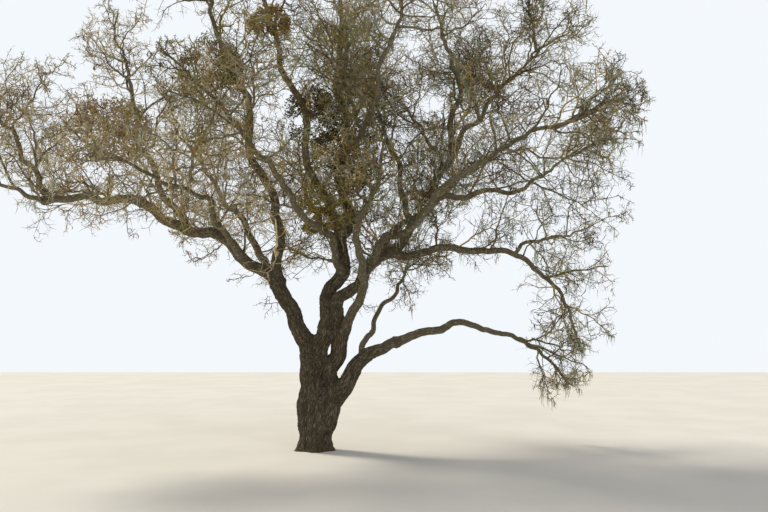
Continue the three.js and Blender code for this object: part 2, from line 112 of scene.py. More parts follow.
BOLE, STEMS, LEFT, CENTRE, RIGHT = Region
LIMBS = [
    Limb("left_stem", None, (-0.085, 0, 0.43), (180, 86), (-0.045, 0, 1.59), (0, 85), (0.205, 0.18), BOLE),
    Limb("right_stem", None, (0.15, -0.01, 0.48), (0, 84), (0.395, -0.02, 2.11), (0, 86), (0.172, 0.13),
         STEMS),
    Limb("low_bough", None, (0.13, -0.02, 0.43), (-5, 78), (1.48, -0.08, 1.86), (0, 20), (0.2, 0.082), STEMS),
    Limb("left_fork", "left_stem", 0.97, (182, 60), (-0.61, -0.06, 2.96), (180, 74), (0.158, 0.122), STEMS),
    Limb("left_limb", "left_fork", 0.97, (184, 34), (-3.08, -0.48, 4.3), (186, 24), (0.108, 0.08), LEFT),
    Limb("left_outer", "left_limb", 0.98, (184, 14), (-4.6, -0.65, 4.29), (185, -14), (0.078, 0.058), LEFT),
    Limb("left_elbow", "left_outer", 0.97, (180, 68), (-5.13, -0.76, 5.26), (172, 62), (0.055, 0.036), LEFT),
    Limb("left_tip", "left_outer", 0.98, (190, 8), (-5.25, -0.94, 4.5), (186, 10), (0.044, 0.03), LEFT),
    Limb("left_rise", "left_limb", 0.68, (176, 62), (-3.23, -0.36, 5.8), (160, 78), (0.066, 0.042), LEFT),
    Limb("left_front", "left_limb", 0.3, (246, 26), (-1.78, -1.88, 4.18), (244, -6), (0.062, 0.038), LEFT),
    Limb("left_back", "left_fork", 0.8, (138, 42), (-2.27, 1.76, 5.07), (140, 44), (0.084, 0.046), LEFT),
    Limb("left_upper", "left_fork", 0.98, (150, 80), (-1.77, 0.22, 7.15), (176, 66), (0.098, 0.052), LEFT),
    Limb("leader", "left_stem", 0.97, (12, 70), (0.5, 0.14, 3.96), (10, 84), (0.147, 0.112), STEMS),
    Limb("top_bough", "leader", 0.98, (60, 84), (0.34, 0.42, 7.35), (160, 84), (0.104, 0.054), CENTRE),
    Limb("centre_left", "leader", 0.93, (196, 52), (-0.67, -1.13, 7.2), (200, 66), (0.08, 0.044), CENTRE),
    Limb("back_high", "top_bough", 0.34, (96, 46), (0.48, 1.99, 6.71), (88, 44), (0.07, 0.042), CENTRE),
    Limb("front_high", "top_bough", 0.26, (262, 48), (1.1, -1.57, 5.94), (284, 50), (0.066, 0.04), CENTRE),
    Limb("centre_back", "leader", 0.82, (100, 38), (-0.4, 2.59, 4.85), (96, 26), (0.086, 0.046), CENTRE),
    Limb("centre_front", "leader", 0.66, (256, 46), (-0.61, -2.1, 4.62), (250, 24), (0.074, 0.042), CENTRE),
    Limb("right_limb", "right_stem", 0.98, (176, 86), (1.3, 0.1, 3.54), (2, 44), (0.118, 0.092), STEMS),
    Limb("right_fork", "right_stem", 0.9, (-22, 26), (0.78, -1.2, 3.81), (284, 60), (0.098, 0.052), RIGHT),
    Limb("right_rise", "right_limb", 0.97, (2, 36), (2.48, 0.12, 5.44), (4, 60), (0.088, 0.062), RIGHT),
    Limb("right_arch", "right_limb", 0.96, (-12, -6), (3.58, -0.63, 3.29), (-6, -30), (0.08, 0.044), RIGHT),
    Limb("right_back", "right_limb", 0.58, (62, 44), (2.2, 1.95, 4.79), (52, 30), (0.076, 0.044), RIGHT),
    Limb("right_front", "right_limb", 0.72, (-56, 40), (2.75, -2.0, 4.7), (-38, 26), (0.074, 0.042), RIGHT),
    Limb("right_inner", "right_rise", 0.32, (182, 48), (1.45, -0.21, 5.12), (188, 62), (0.06, 0.038), RIGHT),
    Limb("right_high", "right_rise", 0.97, (10, 84), (2.39, 0.06, 7.3), (150, 72), (0.06, 0.04), RIGHT),
    Limb("right_out", "right_rise", 0.95, (-4, 44), (3.26, 0.07, 6.37), (-2, 40), (0.054, 0.036), RIGHT),
    Limb("right_mid", "right_rise", 0.52, (-8, 30), (3.7, 0.37, 4.72), (6, 16), (0.062, 0.038), RIGHT),
    Limb("low_outer", "low_bough", 0.97, (2, 26), (3.42, 0.38, 2.01), (6, -22), (0.08, 0.046), RIGHT),
    Limb("low_rise", "low_bough", 0.52, (40, 64), (1.41, 1.03, 2.8), (44, 44), (0.06, 0.036), RIGHT),
]


class Tint(Enum):
    """The plain colours of twig bark, and a pale one that is painted light. A spray of twigs has one of them.
    """

    GREY = 0
    PLUM = 1
    TAN = 2
    OLIVE = 3
    DARK = 4
    SAGE = 5
    # Painted light: a pale twig colour that stands in for the sunlit haze.
    PAINTED_LIGHT = 6
    BOUGH = 7


# The share of each order's twigs that have the boughs' own tint, whatever their spray has.
BOUGH_TINT_SHARES = (1, 0.6, 0.25, 0, 0)
# How often each tint is dealt to the sprays of a mass. The pale tint is painted light, dealt most on the left
# and the top of the crown for its sunlit haze.
LEFT_TINTS = {Tint.PAINTED_LIGHT: 6, Tint.GREY: 4, Tint.PLUM: 2, Tint.TAN: 3, Tint.OLIVE: 1}
FAR_LEFT_TINTS = {Tint.PAINTED_LIGHT: 8, Tint.GREY: 2, Tint.TAN: 1}
UPPER_TINTS = {Tint.PAINTED_LIGHT: 4, Tint.GREY: 3, Tint.TAN: 2, Tint.OLIVE: 2, Tint.SAGE: 2}
CENTRE_TINTS = {Tint.GREY: 3, Tint.PLUM: 1, Tint.TAN: 2, Tint.OLIVE: 4, Tint.DARK: 2, Tint.SAGE: 3}
RIGHT_TINTS = {Tint.GREY: 3, Tint.TAN: 2, Tint.OLIVE: 2, Tint.DARK: 4, Tint.SAGE: 3}


@dataclass(frozen=True)
class Mass:
    """The round space that a bough's twigs fill. Lift is below 0 where they hang."""

    limb: str
    radius: float
    lift: float
    tints: dict


MASSES = [
    Mass("left_tip", 0.9, 0.4, FAR_LEFT_TINTS),
    Mass("left_elbow", 1.08, 0.6, FAR_LEFT_TINTS),
    Mass("left_rise", 1.35, 1, LEFT_TINTS),
    Mass("left_front", 1.45, -1, LEFT_TINTS),
    Mass("left_back", 1.7, 0, LEFT_TINTS),
    Mass("left_upper", 1.5, 1, UPPER_TINTS),
    Mass("top_bough", 1.45, 1, UPPER_TINTS),
    Mass("centre_left", 1.4, 1, UPPER_TINTS),
    Mass("back_high", 1.6, 1, UPPER_TINTS),
    Mass("front_high", 1.5, 1, UPPER_TINTS),
    Mass("centre_back", 1.65, 0.3, CENTRE_TINTS),
    Mass("centre_front", 1.5, -0.5, CENTRE_TINTS),
    Mass("right_fork", 1.0, 0.5, CENTRE_TINTS),
    Mass("right_inner", 1.05, 1, CENTRE_TINTS),
    Mass("right_back", 1.65, 0, RIGHT_TINTS),
    Mass("right_front", 1.6, -0.2, RIGHT_TINTS),
    Mass("right_high", 1.45, 1, RIGHT_TINTS),
    Mass("right_out", 1.45, 1, RIGHT_TINTS),
    Mass("right_mid", 1.35, 0.3, RIGHT_TINTS),
    Mass("right_arch", 1.25, -1, RIGHT_TINTS),
    Mass("low_outer", 1.1, -1, RIGHT_TINTS),
    Mass("low_rise", 1.05, 0, RIGHT_TINTS),
]


@dataclass(frozen=True)
class TwigOrder:
    """How the twigs of one order grow, from the stem that carries a mass on to the finest ones.

    The first three orders are those of the part's source, and the last two carry its rule on.
    """

    joints: int
    crook: float
    lift: float
    children: int
    length_share: float
    sides: int
    bends: int
    least_radius: float
    child_lean: tuple = (34, 68)


ORDERS = (
    TwigOrder(5, 0.2, 0.1, 8, 0.66, 8, 2, 0.008),
    TwigOrder(3, 0.34, 0.08, 6, 0.52, 5, 2, 0.009),
    TwigOrder(2, 0.42, 0.05, 6, 0.6, 4, 1, 0.0072, (38, 88)),
    TwigOrder(3, 0.75, 0.03, 5, 0.5, 3, 0, 0.0055, (36, 95)),
    TwigOrder(1, 0.5, 0.02, 0, 0, 3, 0, 0.0046),
)

# Shoots up to an order are long ones. A spray's twigs share its tint from an order on, and from
# others on twigs carry lichen and leaves, grow into the next masses, and may pass through a limb.
LONG_SHOOT_ORDER = 1
SPRAY_ORDER = 2
HANGING_ORDER = 2
FINE_ORDER = 3
FREE_ORDER = 4

# Where a twig's children leave it, and how long and thick they are beside it.
FIRST_CHILD_AT = 0.14
GOLDEN_ANGLE = 137.5
LENGTH_AT_FOOT = 1.2
LENGTH_LOST_TO_TIP = 0.6
LENGTH_CHANCE = (0.8, 1.2)
TWIG_GIRTH_SHARE = 0.6
TWIG_TIP_SHARE = 0.35
TWIG_CUTS = (1, 0.74, 0.52, 0.36)
LEAST_DRAWN = 0.8

# The masses' stems and spaces, as shares of their radii, and what the twigs keep clear of.
STEM_REACH = 1.5
MASS_LEAD = 0.62
SPACE_MARGIN = 0.045
FINE_SPACE = 1.16
FINE_BALL_SHARE = 0.7
LIMB_CLEARANCE = 0.012
MISTLETOE_CLEARANCE = 0.03
MISTLETOE_LEAN = 0.72

# The limbs' lines, and the collar at the foot of each.
LIMB_MEASURE_STEPS = 48
LIMB_WANDER = 0.032
WANDER_WAVES = (1.4, 1.9)
COLLAR = 0.3
COLLAR_REACH = 1.6

# The shift that all lines share: from which height, over how much of it, and its waves.
GNARL_FROM = 0.6
GNARL_FADE = 1.3
GNARL_WAVES = ((1.9, 0.08), (5.2, 0.036), (13.0, 0.011))
GNARL_SEED = 20

# The least length to divide by, and from how steep a direction +X is crossed with it, not +Z.
TINY = 1e-12
STEEP = 0.9

# The scrambling of whole numbers, and how the draws of ids and bends are kept apart.
FIRST_MIX = np.uint32(0x7FEB352D)
SECOND_MIX = np.uint32(0x846CA68B)
DRAW_STRIDE = 0x9E3779B9
CHILD_STRIDE = 0x632BE5AB
WORD = 0xFFFFFFFF
BENDS_PER_LEVEL = 200


class TwigDraw(IntEnum):
    """What a twig's draws are for. A draw of three values takes up the next two numbers too."""

    PLACE = 1
    LEAN = 2
    TURN = 3
    LENGTH = 4
    LOT = 5
    BOUGH_TINT = 6
    CROOK = 10
    BEND = 100


def scramble(numbers: Array) -> Array:
    """Scrambles whole numbers into 32 bits, the same each time.

    Args:
        numbers: Whole numbers below 2**32.

    Returns:
        As many scrambled ones.
    """
    n = np.asarray(numbers).astype(np.uint32)
    with np.errstate(over="ignore"):
        first = (n ^ (n >> np.uint32(16))) * FIRST_MIX
        second = (first ^ (first >> np.uint32(15))) * SECOND_MIX
    return second ^ (second >> np.uint32(16))


def chance(ids: Array, draw: int, low: float = 0, high: float = 1) -> Array:
    """Draws a value for each id.

    Args:
        ids: Whole numbers, one for each twig, limb or leaf.
        draw: Which of its draws this is.
        low: The least value.
        high: The value that the draws stay below.

    Returns:
        One value for each id.
    """
    with np.errstate(over="ignore"):
        mixed = np.asarray(ids).astype(np.uint32) + np.uint32(draw * DRAW_STRIDE & WORD)
    return low + (high - low) * (scramble(mixed) / 2.0**32)


def chances(ids: Array, draw: int, low: float = -1, high: float = 1) -> Array:
    """Draws three values for each id, as a vector."""
    return np.stack([chance(ids, draw + axis, low, high) for axis in range(3)], axis=-1)


def heading(bearing: float, climb: float) -> Array:
    """Gives the direction of a bearing and a climb in degrees."""
    b, c = math.radians(bearing), math.radians(climb)
    return np.array([math.cos(b) * math.cos(c), math.sin(b) * math.cos(c), math.sin(c)])


def unit(vectors: Array) -> Array:
    """Scales vectors to length 1."""
    return vectors / np.maximum(np.linalg.norm(vectors, axis=-1, keepdims=True), TINY)


def square_to(directions: Array) -> tuple[Array, Array]:
    """Finds two directions square to each given one.

    Args:
        directions: Unit vectors, one a row.

    Returns:
        The two directions, which make a right-handed frame with the given one.
    """
    steep = np.abs(directions[..., 2:]) >= STEEP
    helper = np.where(steep, [1.0, 0, 0], [0, 0, 1.0])
    u = unit(np.cross(helper, directions))
    return u, np.cross(directions, u)


def points_at(lines: Array, share: Array) -> Array:
    """Finds the point at a share of each line's way.

    Args:
        lines: Lines of as many points each, as lines x points x 3.
        share: A share for each line.

    Returns:
        A point for each line.
    """
    last = lines.shape[1] - 1
    place = np.clip(share, 0, 1) * last
    i = np.minimum(place.astype(int), last - 1)
    row = np.arange(len(lines))
    before, after = lines[row, i], lines[row, i + 1]
    return before + (after - before) * (place - i)[:, None]


def directions_at(lines: Array, share: Array) -> Array:
    """Finds the direction at a share of each line's way."""
    half = 0.5 / (lines.shape[1] - 1)
    return unit(points_at(lines, share + half) - points_at(lines, share - half))


def frames_along(lines: Array, first: Array | None = None) -> tuple[Array, Array, Array]:
    """Finds frames along lines that turn as little as they can.

    Args:
        lines: Lines x points x 3.
        first: The direction that the first frames turn to, or None where that doesn't matter.

    Returns:
        The direction along, and two directions square to it, at each point.
    """
    along = np.empty_like(lines)
    along[:, 1:-1] = lines[:, 2:] - lines[:, :-2]
    along[:, 0] = lines[:, 1] - lines[:, 0]
    along[:, -1] = lines[:, -1] - lines[:, -2]
    along = unit(along)
    u = np.empty_like(lines)
    if first is None:
        u[:, 0] = square_to(along[:, 0])[0]
    else:
        u[:, 0] = unit(first - along[:, 0] * (along[:, 0] @ first)[:, None])
    for i in range(1, lines.shape[1]):
        carried = u[:, i - 1]
        lean = (carried * along[:, i]).sum(axis=1, keepdims=True)
        u[:, i] = unit(carried - lean * along[:, i])
    return along, u, np.cross(along, u)


def bent_again(lines: Array, ids: Array, times: int, amount: float = 0.09) -> Array:
    """Bends each stretch of the lines again, a little to one side.

    Args:
        lines: Lines x points x 3.
        ids: One number for each line.
        times: How many times the stretches are halved.
        amount: How far a new point may stand off, as a share of its stretch.

    Returns:
        Lines with more points.
    """
    for level in range(times):
        stretches = lines[:, 1:] - lines[:, :-1]
        middle = lines[:, :-1] + stretches / 2
        reach = np.linalg.norm(stretches, axis=2)
        for i in range(stretches.shape[1]):
            side = chances(ids, TwigDraw.BEND + BENDS_PER_LEVEL * level + 3 * i)
            middle[:, i] += side * reach[:, i, None] * amount
        woven = np.empty((len(lines), 2 * stretches.shape[1] + 1, 3))
        woven[:, ::2], woven[:, 1::2] = lines, middle
        lines = woven
    return lines


def gnarled(lines: Array) -> Array:
    """Shifts lines a little, by a field that all of them share, so that what joins stays joined.

    Args:
        lines: Points, in any array whose last axis is x, y and z.

    Returns:
        The same points, shifted more the higher they are, up to a height.
    """
    points = lines.reshape(-1, 3)
    fade = np.clip((points[:, 2:] - GNARL_FROM) / GNARL_FADE, 0, 1)
    shifted = points.copy()
    for seed, (waves, amount) in enumerate(GNARL_WAVES):
        field_at = [value_noise(points * waves, GNARL_SEED + 3 * seed + axis) for axis in range(3)]
        shifted += fade * amount * (2 * np.stack(field_at, axis=1) - 1)
    return shifted.reshape(lines.shape)


class Bough:
    """A limb with its line worked out by the rule of the part's source."""

    def __init__(self, limb: Limb, number: int, parent: "Bough | None") -> None:
        """Works out the line from foot to tip.

        Args:
            limb: The limb's own values.
            number: Its number, from 1, which seeds its wander.
            parent: The bough that it leaves, or None for one that leaves the bole.
        """
        self.limb, self.number, self.parent = limb, number, parent
        foot = points_at(parent.line[None], np.array([limb.start]))[0] if parent else np.array(limb.start)
        tip = np.array(limb.tip)
        chord = tip - foot
        far = np.linalg.norm(chord)
        bend_out = foot + heading(*limb.leave) * far / 3
        bend_in = tip - heading(*limb.arrive) * far / 3
        t = np.linspace(0, 1, LIMB_MEASURE_STEPS + 1)[:, None]
        curve = foot * (1 - t) ** 3 + 3 * bend_out * t * (1 - t) ** 2
        curve = curve + 3 * bend_in * t**2 * (1 - t) + tip * t**3
        swing = LIMB_WANDER * far * np.sin(np.pi * t)
        for i, across in enumerate(square_to(chord / far)):
            start = chance(np.array([number]), i + 1)[0]
            curve = curve + across * swing * np.sin(2 * np.pi * (WANDER_WAVES[i] * t + start))
        self.line = curve
        self.length = np.linalg.norm(np.diff(curve, axis=0), axis=1).sum()

    def radius(self, share: Array) -> Array:
        """Gives the radius at shares of the length, with the collar where it leaves its parent."""
        foot, tip = self.limb.radii
        collar = COLLAR * np.exp(-share * self.length / (COLLAR_REACH * foot)) if self.parent else 0
        return (foot + (tip - foot) * share) * (1 + collar)


def grow_boughs() -> dict[str, Bough]:
    """Works out every limb, each from its parent's line."""
    boughs: dict[str, Bough] = {}
    for number, limb in enumerate(LIMBS, start=1):
        boughs[limb.name] = Bough(limb, number, boughs.get(limb.parent))
    return boughs


PER_TWIG = ("ids", "start", "direction", "length", "girth", "spray", "points", "line")


@dataclass
class Twigs:
    """Twigs of one order, one a row: their rule's own lines, and the lines that are drawn."""

    order: int
    ids: Array
    start: Array
    direction: Array
    length: Array
    girth: Array
    spray: Array
    lift: float = 0
    points: Array | None = None
    line: Array | None = None

    def rows(self, chosen: Array) -> "Twigs":
        """Gives the chosen twigs only."""
        picked = {}
        for name in PER_TWIG:
            values = getattr(self, name)
            picked[name] = None if values is None else values[chosen]
        return Twigs(order=self.order, lift=self.lift, **picked)

    def radius(self, share: Array) -> Array:
        """Gives each twig's radius at shares of its way."""
        return self.girth[:, None] * (1 - (1 - TWIG_TIP_SHARE) * share)

    def draw_lines(self) -> None:
        """Works out the lines: a twig turns a little at each joint, by the draws of its own number."""
        rule = ORDERS[self.order]
        points = [self.start]
        along = self.direction
        for joint in range(rule.joints):
            along = along + chances(self.ids, TwigDraw.CROOK + 3 * joint) * rule.crook
            along = unit(along + [0, 0, self.lift * rule.lift])
            points.append(points[joint] + along * self.length[:, None] / rule.joints)
        self.points = np.stack(points, axis=1)

    def bend(self) -> None:
        """Bends the drawn lines again, as finely as the order asks."""
        self.line = bent_again(self.points, self.ids, ORDERS[self.order].bends)

    def children(self) -> "Twigs":
        """Works out where the next order starts, which way it goes, and its size.

        Returns:
            The children of all the twigs, before their lines are drawn.
        """
        rule = ORDERS[self.order]
        parts = []
        for k in range(rule.children):
            with np.errstate(over="ignore"):
                ids = scramble(self.ids + np.uint32((k + 1) * CHILD_STRIDE & WORD))
            place = k + chance(ids, TwigDraw.PLACE)
            share = FIRST_CHILD_AT + (1 - FIRST_CHILD_AT) * place / rule.children
            along = directions_at(self.points, share)
            u, v = square_to(along)
            turn = np.radians(GOLDEN_ANGLE * k + 360 * chance(self.ids, TwigDraw.TURN))[:, None]
            lean = np.radians(chance(ids, TwigDraw.LEAN, *rule.child_lean))[:, None]
            out = along * np.cos(lean) + (u * np.cos(turn) + v * np.sin(turn)) * np.sin(lean)
            from_foot = LENGTH_AT_FOOT - LENGTH_LOST_TO_TIP * share
            by_chance = chance(ids, TwigDraw.LENGTH, *LENGTH_CHANCE)
            length = self.length * rule.length_share * from_foot * by_chance
            girth = self.girth * (1 - (1 - TWIG_TIP_SHARE) * share) * TWIG_GIRTH_SHARE
            spray = self.spray if self.order >= SPRAY_ORDER else ids
            parts.append((ids, points_at(self.line, share), out, length, girth, spray))
        ids, start, out, length, girth, spray = (np.concatenate(values) for values in zip(*parts))
        girth = np.maximum(girth, ORDERS[self.order + 1].least_radius)
        return Twigs(self.order + 1, ids, start, out, length, girth, spray, self.lift)


def joined(parts: list[Twigs]) -> Twigs:
    """Joins twigs of one order and lift.

    Args:
        parts: The twigs.

    Returns:
        All of them as one.
    """
    values = {}
    for name in PER_TWIG:
        columns = [getattr(part, name) for part in parts]
        values[name] = None if columns[0] is None else np.concatenate(columns)
    return Twigs(order=parts[0].order, lift=parts[0].lift, **values)


@dataclass(frozen=True)
class Ball:
    """A mistletoe ball: the bough that it sits on, on which side, its size and its greens."""

    name: str
    on: str
    at: float
    side: tuple[float, float]
    radius: float
    leaf: int


BALLS = [
    Ball("mistletoe_left", "left_rise", 0.84, (190, 12), 0.68, 0),
    Ball("mistletoe_upper_left", "left_upper", 0.9, (200, 0), 0.7, 1),
    Ball("mistletoe_top", "centre_left", 0.97, (250, -5), 0.37, 0),
    # This ball's green, number 2, is mistletoe green darkened as painted shade.
    Ball("mistletoe_dark", "centre_left", 0.6, (70, 10), 0.54, 2),
    Ball("mistletoe_centre", "top_bough", 0.36, (290, -10), 0.6, 1),
    Ball("mistletoe_low", "centre_left", 0.12, (235, 10), 0.48, 3),
]


class Surroundings:
    """What a twig keeps clear of: the other masses' spaces, the mistletoe, the limbs, the ground.

    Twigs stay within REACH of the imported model's box and above LOWEST. A long shoot stays in a
    mass, whose radius counts as SHOOT_SPACE times its own, or within SHOOT_REACH of a limb.
    """

    REACH = 0.13
    LOWEST = 0.35
    SHOOT_SPACE = 1.1
    SHOOT_REACH = 0.85
    NEAR_LIMB = 0.4
    COARSELY = slice(None, None, 8)
    ROWS_AT_ONCE = 20_000

    def __init__(self, boughs: dict[str, Bough]) -> None:
        """Gathers the spaces, the balls and the limbs' lines.

        Args:
            boughs: The limbs.
        """
        tips = [boughs[mass.limb] for mass in MASSES]
        ends = np.stack([bough.line[-1] for bough in tips])
        lead = np.stack([directions_at(bough.line[None], np.ones(1))[0] for bough in tips])
        self.radii = np.array([mass.radius for mass in MASSES])
        self.centres = ends + lead * MASS_LEAD * self.radii[:, None]
        self.seats = np.stack([points_at(boughs[b.on].line[None], np.array([b.at]))[0] for b in BALLS])
        self.ball_radii = np.array([ball.radius for ball in BALLS])
        sides = np.stack([heading(*ball.side) for ball in BALLS])
        self.ball_centres = self.seats + sides * (self.ball_radii * MISTLETOE_LEAN)[:, None]
        self.limb_points = np.concatenate([bough.line for bough in boughs.values()])
        share = np.linspace(0, 1, LIMB_MEASURE_STEPS + 1)
        self.limb_radii = np.concatenate([bough.radius(share) for bough in boughs.values()])
        low, high = CAD_BOUNDS
        self.low = np.array(low) - self.REACH
        self.high = np.array(high) + self.REACH
        self.low[2] = self.LOWEST

    def fits(self, twigs: Twigs, space: int | None) -> Array:
        """Tells which twigs fit where they are.

        Args:
            twigs: Twigs with their rule's lines worked out.
            space: The number of the mass that they belong to, or None for shoots on the limbs.

        Returns:
            True for each twig whose joints, and the points half way between them, are all clear.
        """
        fine = twigs.order >= FINE_ORDER
        half_way = (twigs.points[:, 1:] + twigs.points[:, :-1]) / 2
        probes = np.concatenate([twigs.points[:, 1:], half_way], axis=1)
        count = probes.shape[1]
        flat = probes.reshape(-1, 3)
        clear = ((flat > self.low) & (flat < self.high)).all(axis=1)
        if space is not None or twigs.order <= LONG_SHOOT_ORDER:
            clear &= self.in_space(flat, space, fine)
        from_balls = np.linalg.norm(flat[:, None] - self.ball_centres, axis=2)
        kept_clear = self.ball_radii * FINE_BALL_SHARE if fine else self.ball_radii + MISTLETOE_CLEARANCE
        clear &= (from_balls >= kept_clear).all(axis=1)
        if twigs.order < FREE_ORDER:
            clear &= self.off_limbs(flat, np.repeat(twigs.girth, count) + LIMB_CLEARANCE)
        return clear.reshape(-1, count).all(axis=1)

    def in_space(self, points: Array, space: int | None, fine: bool) -> Array:
        """Tells which points lie in their mass's space or, for a shoot's, in any or near a limb.

        Args:
            points: Points, one a row.
            space: The number of the mass, or None for shoots on the limbs.
            fine: Whether they belong to fine twigs, which may reach into the next masses.

        Returns:
            True for each point that does.
        """
        away = np.linalg.norm(points[:, None] - self.centres, axis=2) / self.radii
        if space is None:
            limbs = self.limb_points[self.COARSELY]
            off = np.linalg.norm(points[:, None] - limbs, axis=2).min(axis=1)
            return (away.min(axis=1) <= self.SHOOT_SPACE) | (off <= self.SHOOT_REACH)
        own = away[:, space].copy()
        if fine:
            return own <= FINE_SPACE
        away[:, space] = np.inf
        return (own <= 1) & (away.min(axis=1) > own + SPACE_MARGIN)

    def off_limbs(self, points: Array, room: Array) -> Array:
        """Tells which points are further from every limb's skin than the room that each needs.

        Args:
            points: Points, one a row.
            room: The room for each.

        Returns:
            True for each point that is.
        """
        clear = np.ones(len(points), bool)
        low, high = points.min(axis=0) - self.NEAR_LIMB, points.max(axis=0) + self.NEAR_LIMB
        near = ((self.limb_points > low) & (self.limb_points < high)).all(axis=1)
        if near.any():
            middles, radii = self.limb_points[near], self.limb_radii[near]
            for part in range(0, len(points), self.ROWS_AT_ONCE):
                rows = slice(part, part + self.ROWS_AT_ONCE)
                skin = np.linalg.norm(points[rows, None] - middles, axis=2) - radii
                clear[rows] = skin.min(axis=1) > room[rows]
        return clear

    def grown(self, sprouts: Twigs, space: int | None) -> Twigs | None:
        """Grows each sprout to its full length, or to a shorter one that fits, or drops it.

        Args:
            sprouts: Twigs with their starts, ways and full lengths.
            space: The number of the mass that they belong to, or None for shoots.

        Returns:
            The twigs that fit, or None where none does.
        """
        waiting, placed = sprouts, []
        full = sprouts.length.copy()
        for cut in TWIG_CUTS:
            waiting.length = full * cut
            waiting.draw_lines()
            fit = self.fits(waiting, space)
            if fit.any():
                placed.append(waiting.rows(fit))
            if fit.all():
                break
            waiting, full = waiting.rows(~fit), full[~fit]
        if not placed:
            return None
        twigs = joined(placed)
        twigs.bend()
        return twigs


class Crown:
    """All the twigs: those of the masses, and the shoots that stand on the limbs."""

    def __init__(self, boughs: dict[str, Bough], around: Surroundings, finest: int) -> None:
        """Keeps what the twigs grow from.

        Args:
            boughs: The limbs.
            around: What the twigs keep clear of.
            finest: The last order that is grown.
        """
        self.boughs, self.around, self.finest = boughs, around, finest

    def stem(self, number: int) -> Twigs:
        """Grows the stem that carries mass `number` on from its bough's tip.

        Args:
            number: The number of the mass.

        Returns:
            The stem, as the only twig of order 0.
        """
        mass = MASSES[number]
        bough = self.boughs[mass.limb]
        out = directions_at(bough.line[None], np.ones(1))
        ids = scramble(np.array([number + 1]))
        length = np.array([mass.radius * STEM_REACH])
        girth = np.array([bough.limb.radii[1]])
        stem = Twigs(0, ids, bough.line[-1:], out, length, girth, ids, mass.lift)
        stem.draw_lines()
        stem.bend()
        return stem

    def line_of(self, name: str, stem_share: float) -> tuple[Array, Array]:
        """Gives a bough's line and radii, carried on into the stem of its mass.

        Args:
            name: The bough's name.
            stem_share: How much of the stem to take, as a share of its length.

        Returns:
            The points, and the radius at each.
        """
        bough = self.boughs[name]
        line, radii = bough.line, bough.radius(np.linspace(0, 1, LIMB_MEASURE_STEPS + 1))
        for number, mass in enumerate(MASSES):
            if mass.limb == name:
                stem = self.stem(number)
                last = round(stem_share * (stem.line.shape[1] - 1))
                way = np.linspace(0, 1, stem.line.shape[1])[None]
                line = np.concatenate([line, stem.line[0, 1 : last + 1]])
                radii = np.concatenate([radii, stem.radius(way)[0, 1 : last + 1]])
        return line, radii

    def carried_on(self, twigs: Twigs, space: int | None) -> list[Twigs]:
        """Grows the twigs' children, and theirs, down to the finest order.

        Args:
            twigs: The twigs.
            space: The number of their mass, or None for shoots.

        Returns:
            The grown twigs, order by order.
        """
        grown = []
        while twigs is not None and twigs.order < self.finest:
            twigs = self.around.grown(twigs.children(), space)
            if twigs is not None:
                grown.append(twigs)
        return grown


def copies(one: Array, step: int, count: int) -> tuple[Array, Array]:
    """Repeats one thing's triangles for many that have as many vertices each.

    Args:
        one: The first thing's triangles.
        step: How many vertices each thing has.
        count: How many things there are.

    Returns:
        All the triangles, and the number of the thing that each belongs to.
    """
    triangles = one[None] + step * np.arange(count)[:, None, None]
    return triangles.reshape(-1, 3), np.repeat(np.arange(count), len(one))


def tubes(lines: Array, radii: Array, sides: int) -> tuple[Array, Array, Array]:
    """Makes pointed tubes round lines, closed at the foot.

    Args:
        lines: Lines x points x 3.
        radii: A radius at each point. The last is the tip, where the tube ends in a point.
        sides: How many sides the tubes have.

    Returns:
        The vertices, the triangles, and the number of the line that each triangle belongs to.
    """
    count, rings = lines.shape[0], lines.shape[1] - 1
    _, u, v = frames_along(lines)
    angle = 2 * np.pi * np.arange(sides) / sides
    round_it = u[:, :rings, None] * np.cos(angle)[:, None] + v[:, :rings, None] * np.sin(angle)[:, None]
    skin = lines[:, :rings, None] + round_it * radii[:, :rings, None, None]
    per_tube = rings * sides + 1
    vertices = np.concatenate([skin.reshape(count, -1, 3), lines[:, -1:]], axis=1).reshape(-1, 3)
    j = np.arange(sides)
    after = (j + 1) % sides
    faces = []
    for i in range(rings - 1):
        low, high = i * sides, (i + 1) * sides
        faces.append(np.stack([low + j, low + after, high + after], axis=1))
        faces.append(np.stack([low + j, high + after, high + j], axis=1))
    top = (rings - 1) * sides
    faces.append(np.stack([top + j, top + after, np.full(sides, per_tube - 1)], axis=1))
    fan = np.arange(1, sides - 1)
    faces.append(np.stack([np.zeros(sides - 2, int), fan + 1, fan], axis=1))
    return vertices, *copies(np.concatenate(faces), per_tube, count)


def in_scene(name: str, data: bpy.types.ID) -> bpy.types.Object:
    """Makes an object of a mesh, a lamp or a camera, and puts it in the scene."""
    made = bpy.data.objects.new(name, data)
    bpy.context.scene.collection.objects.link(made)
    return made


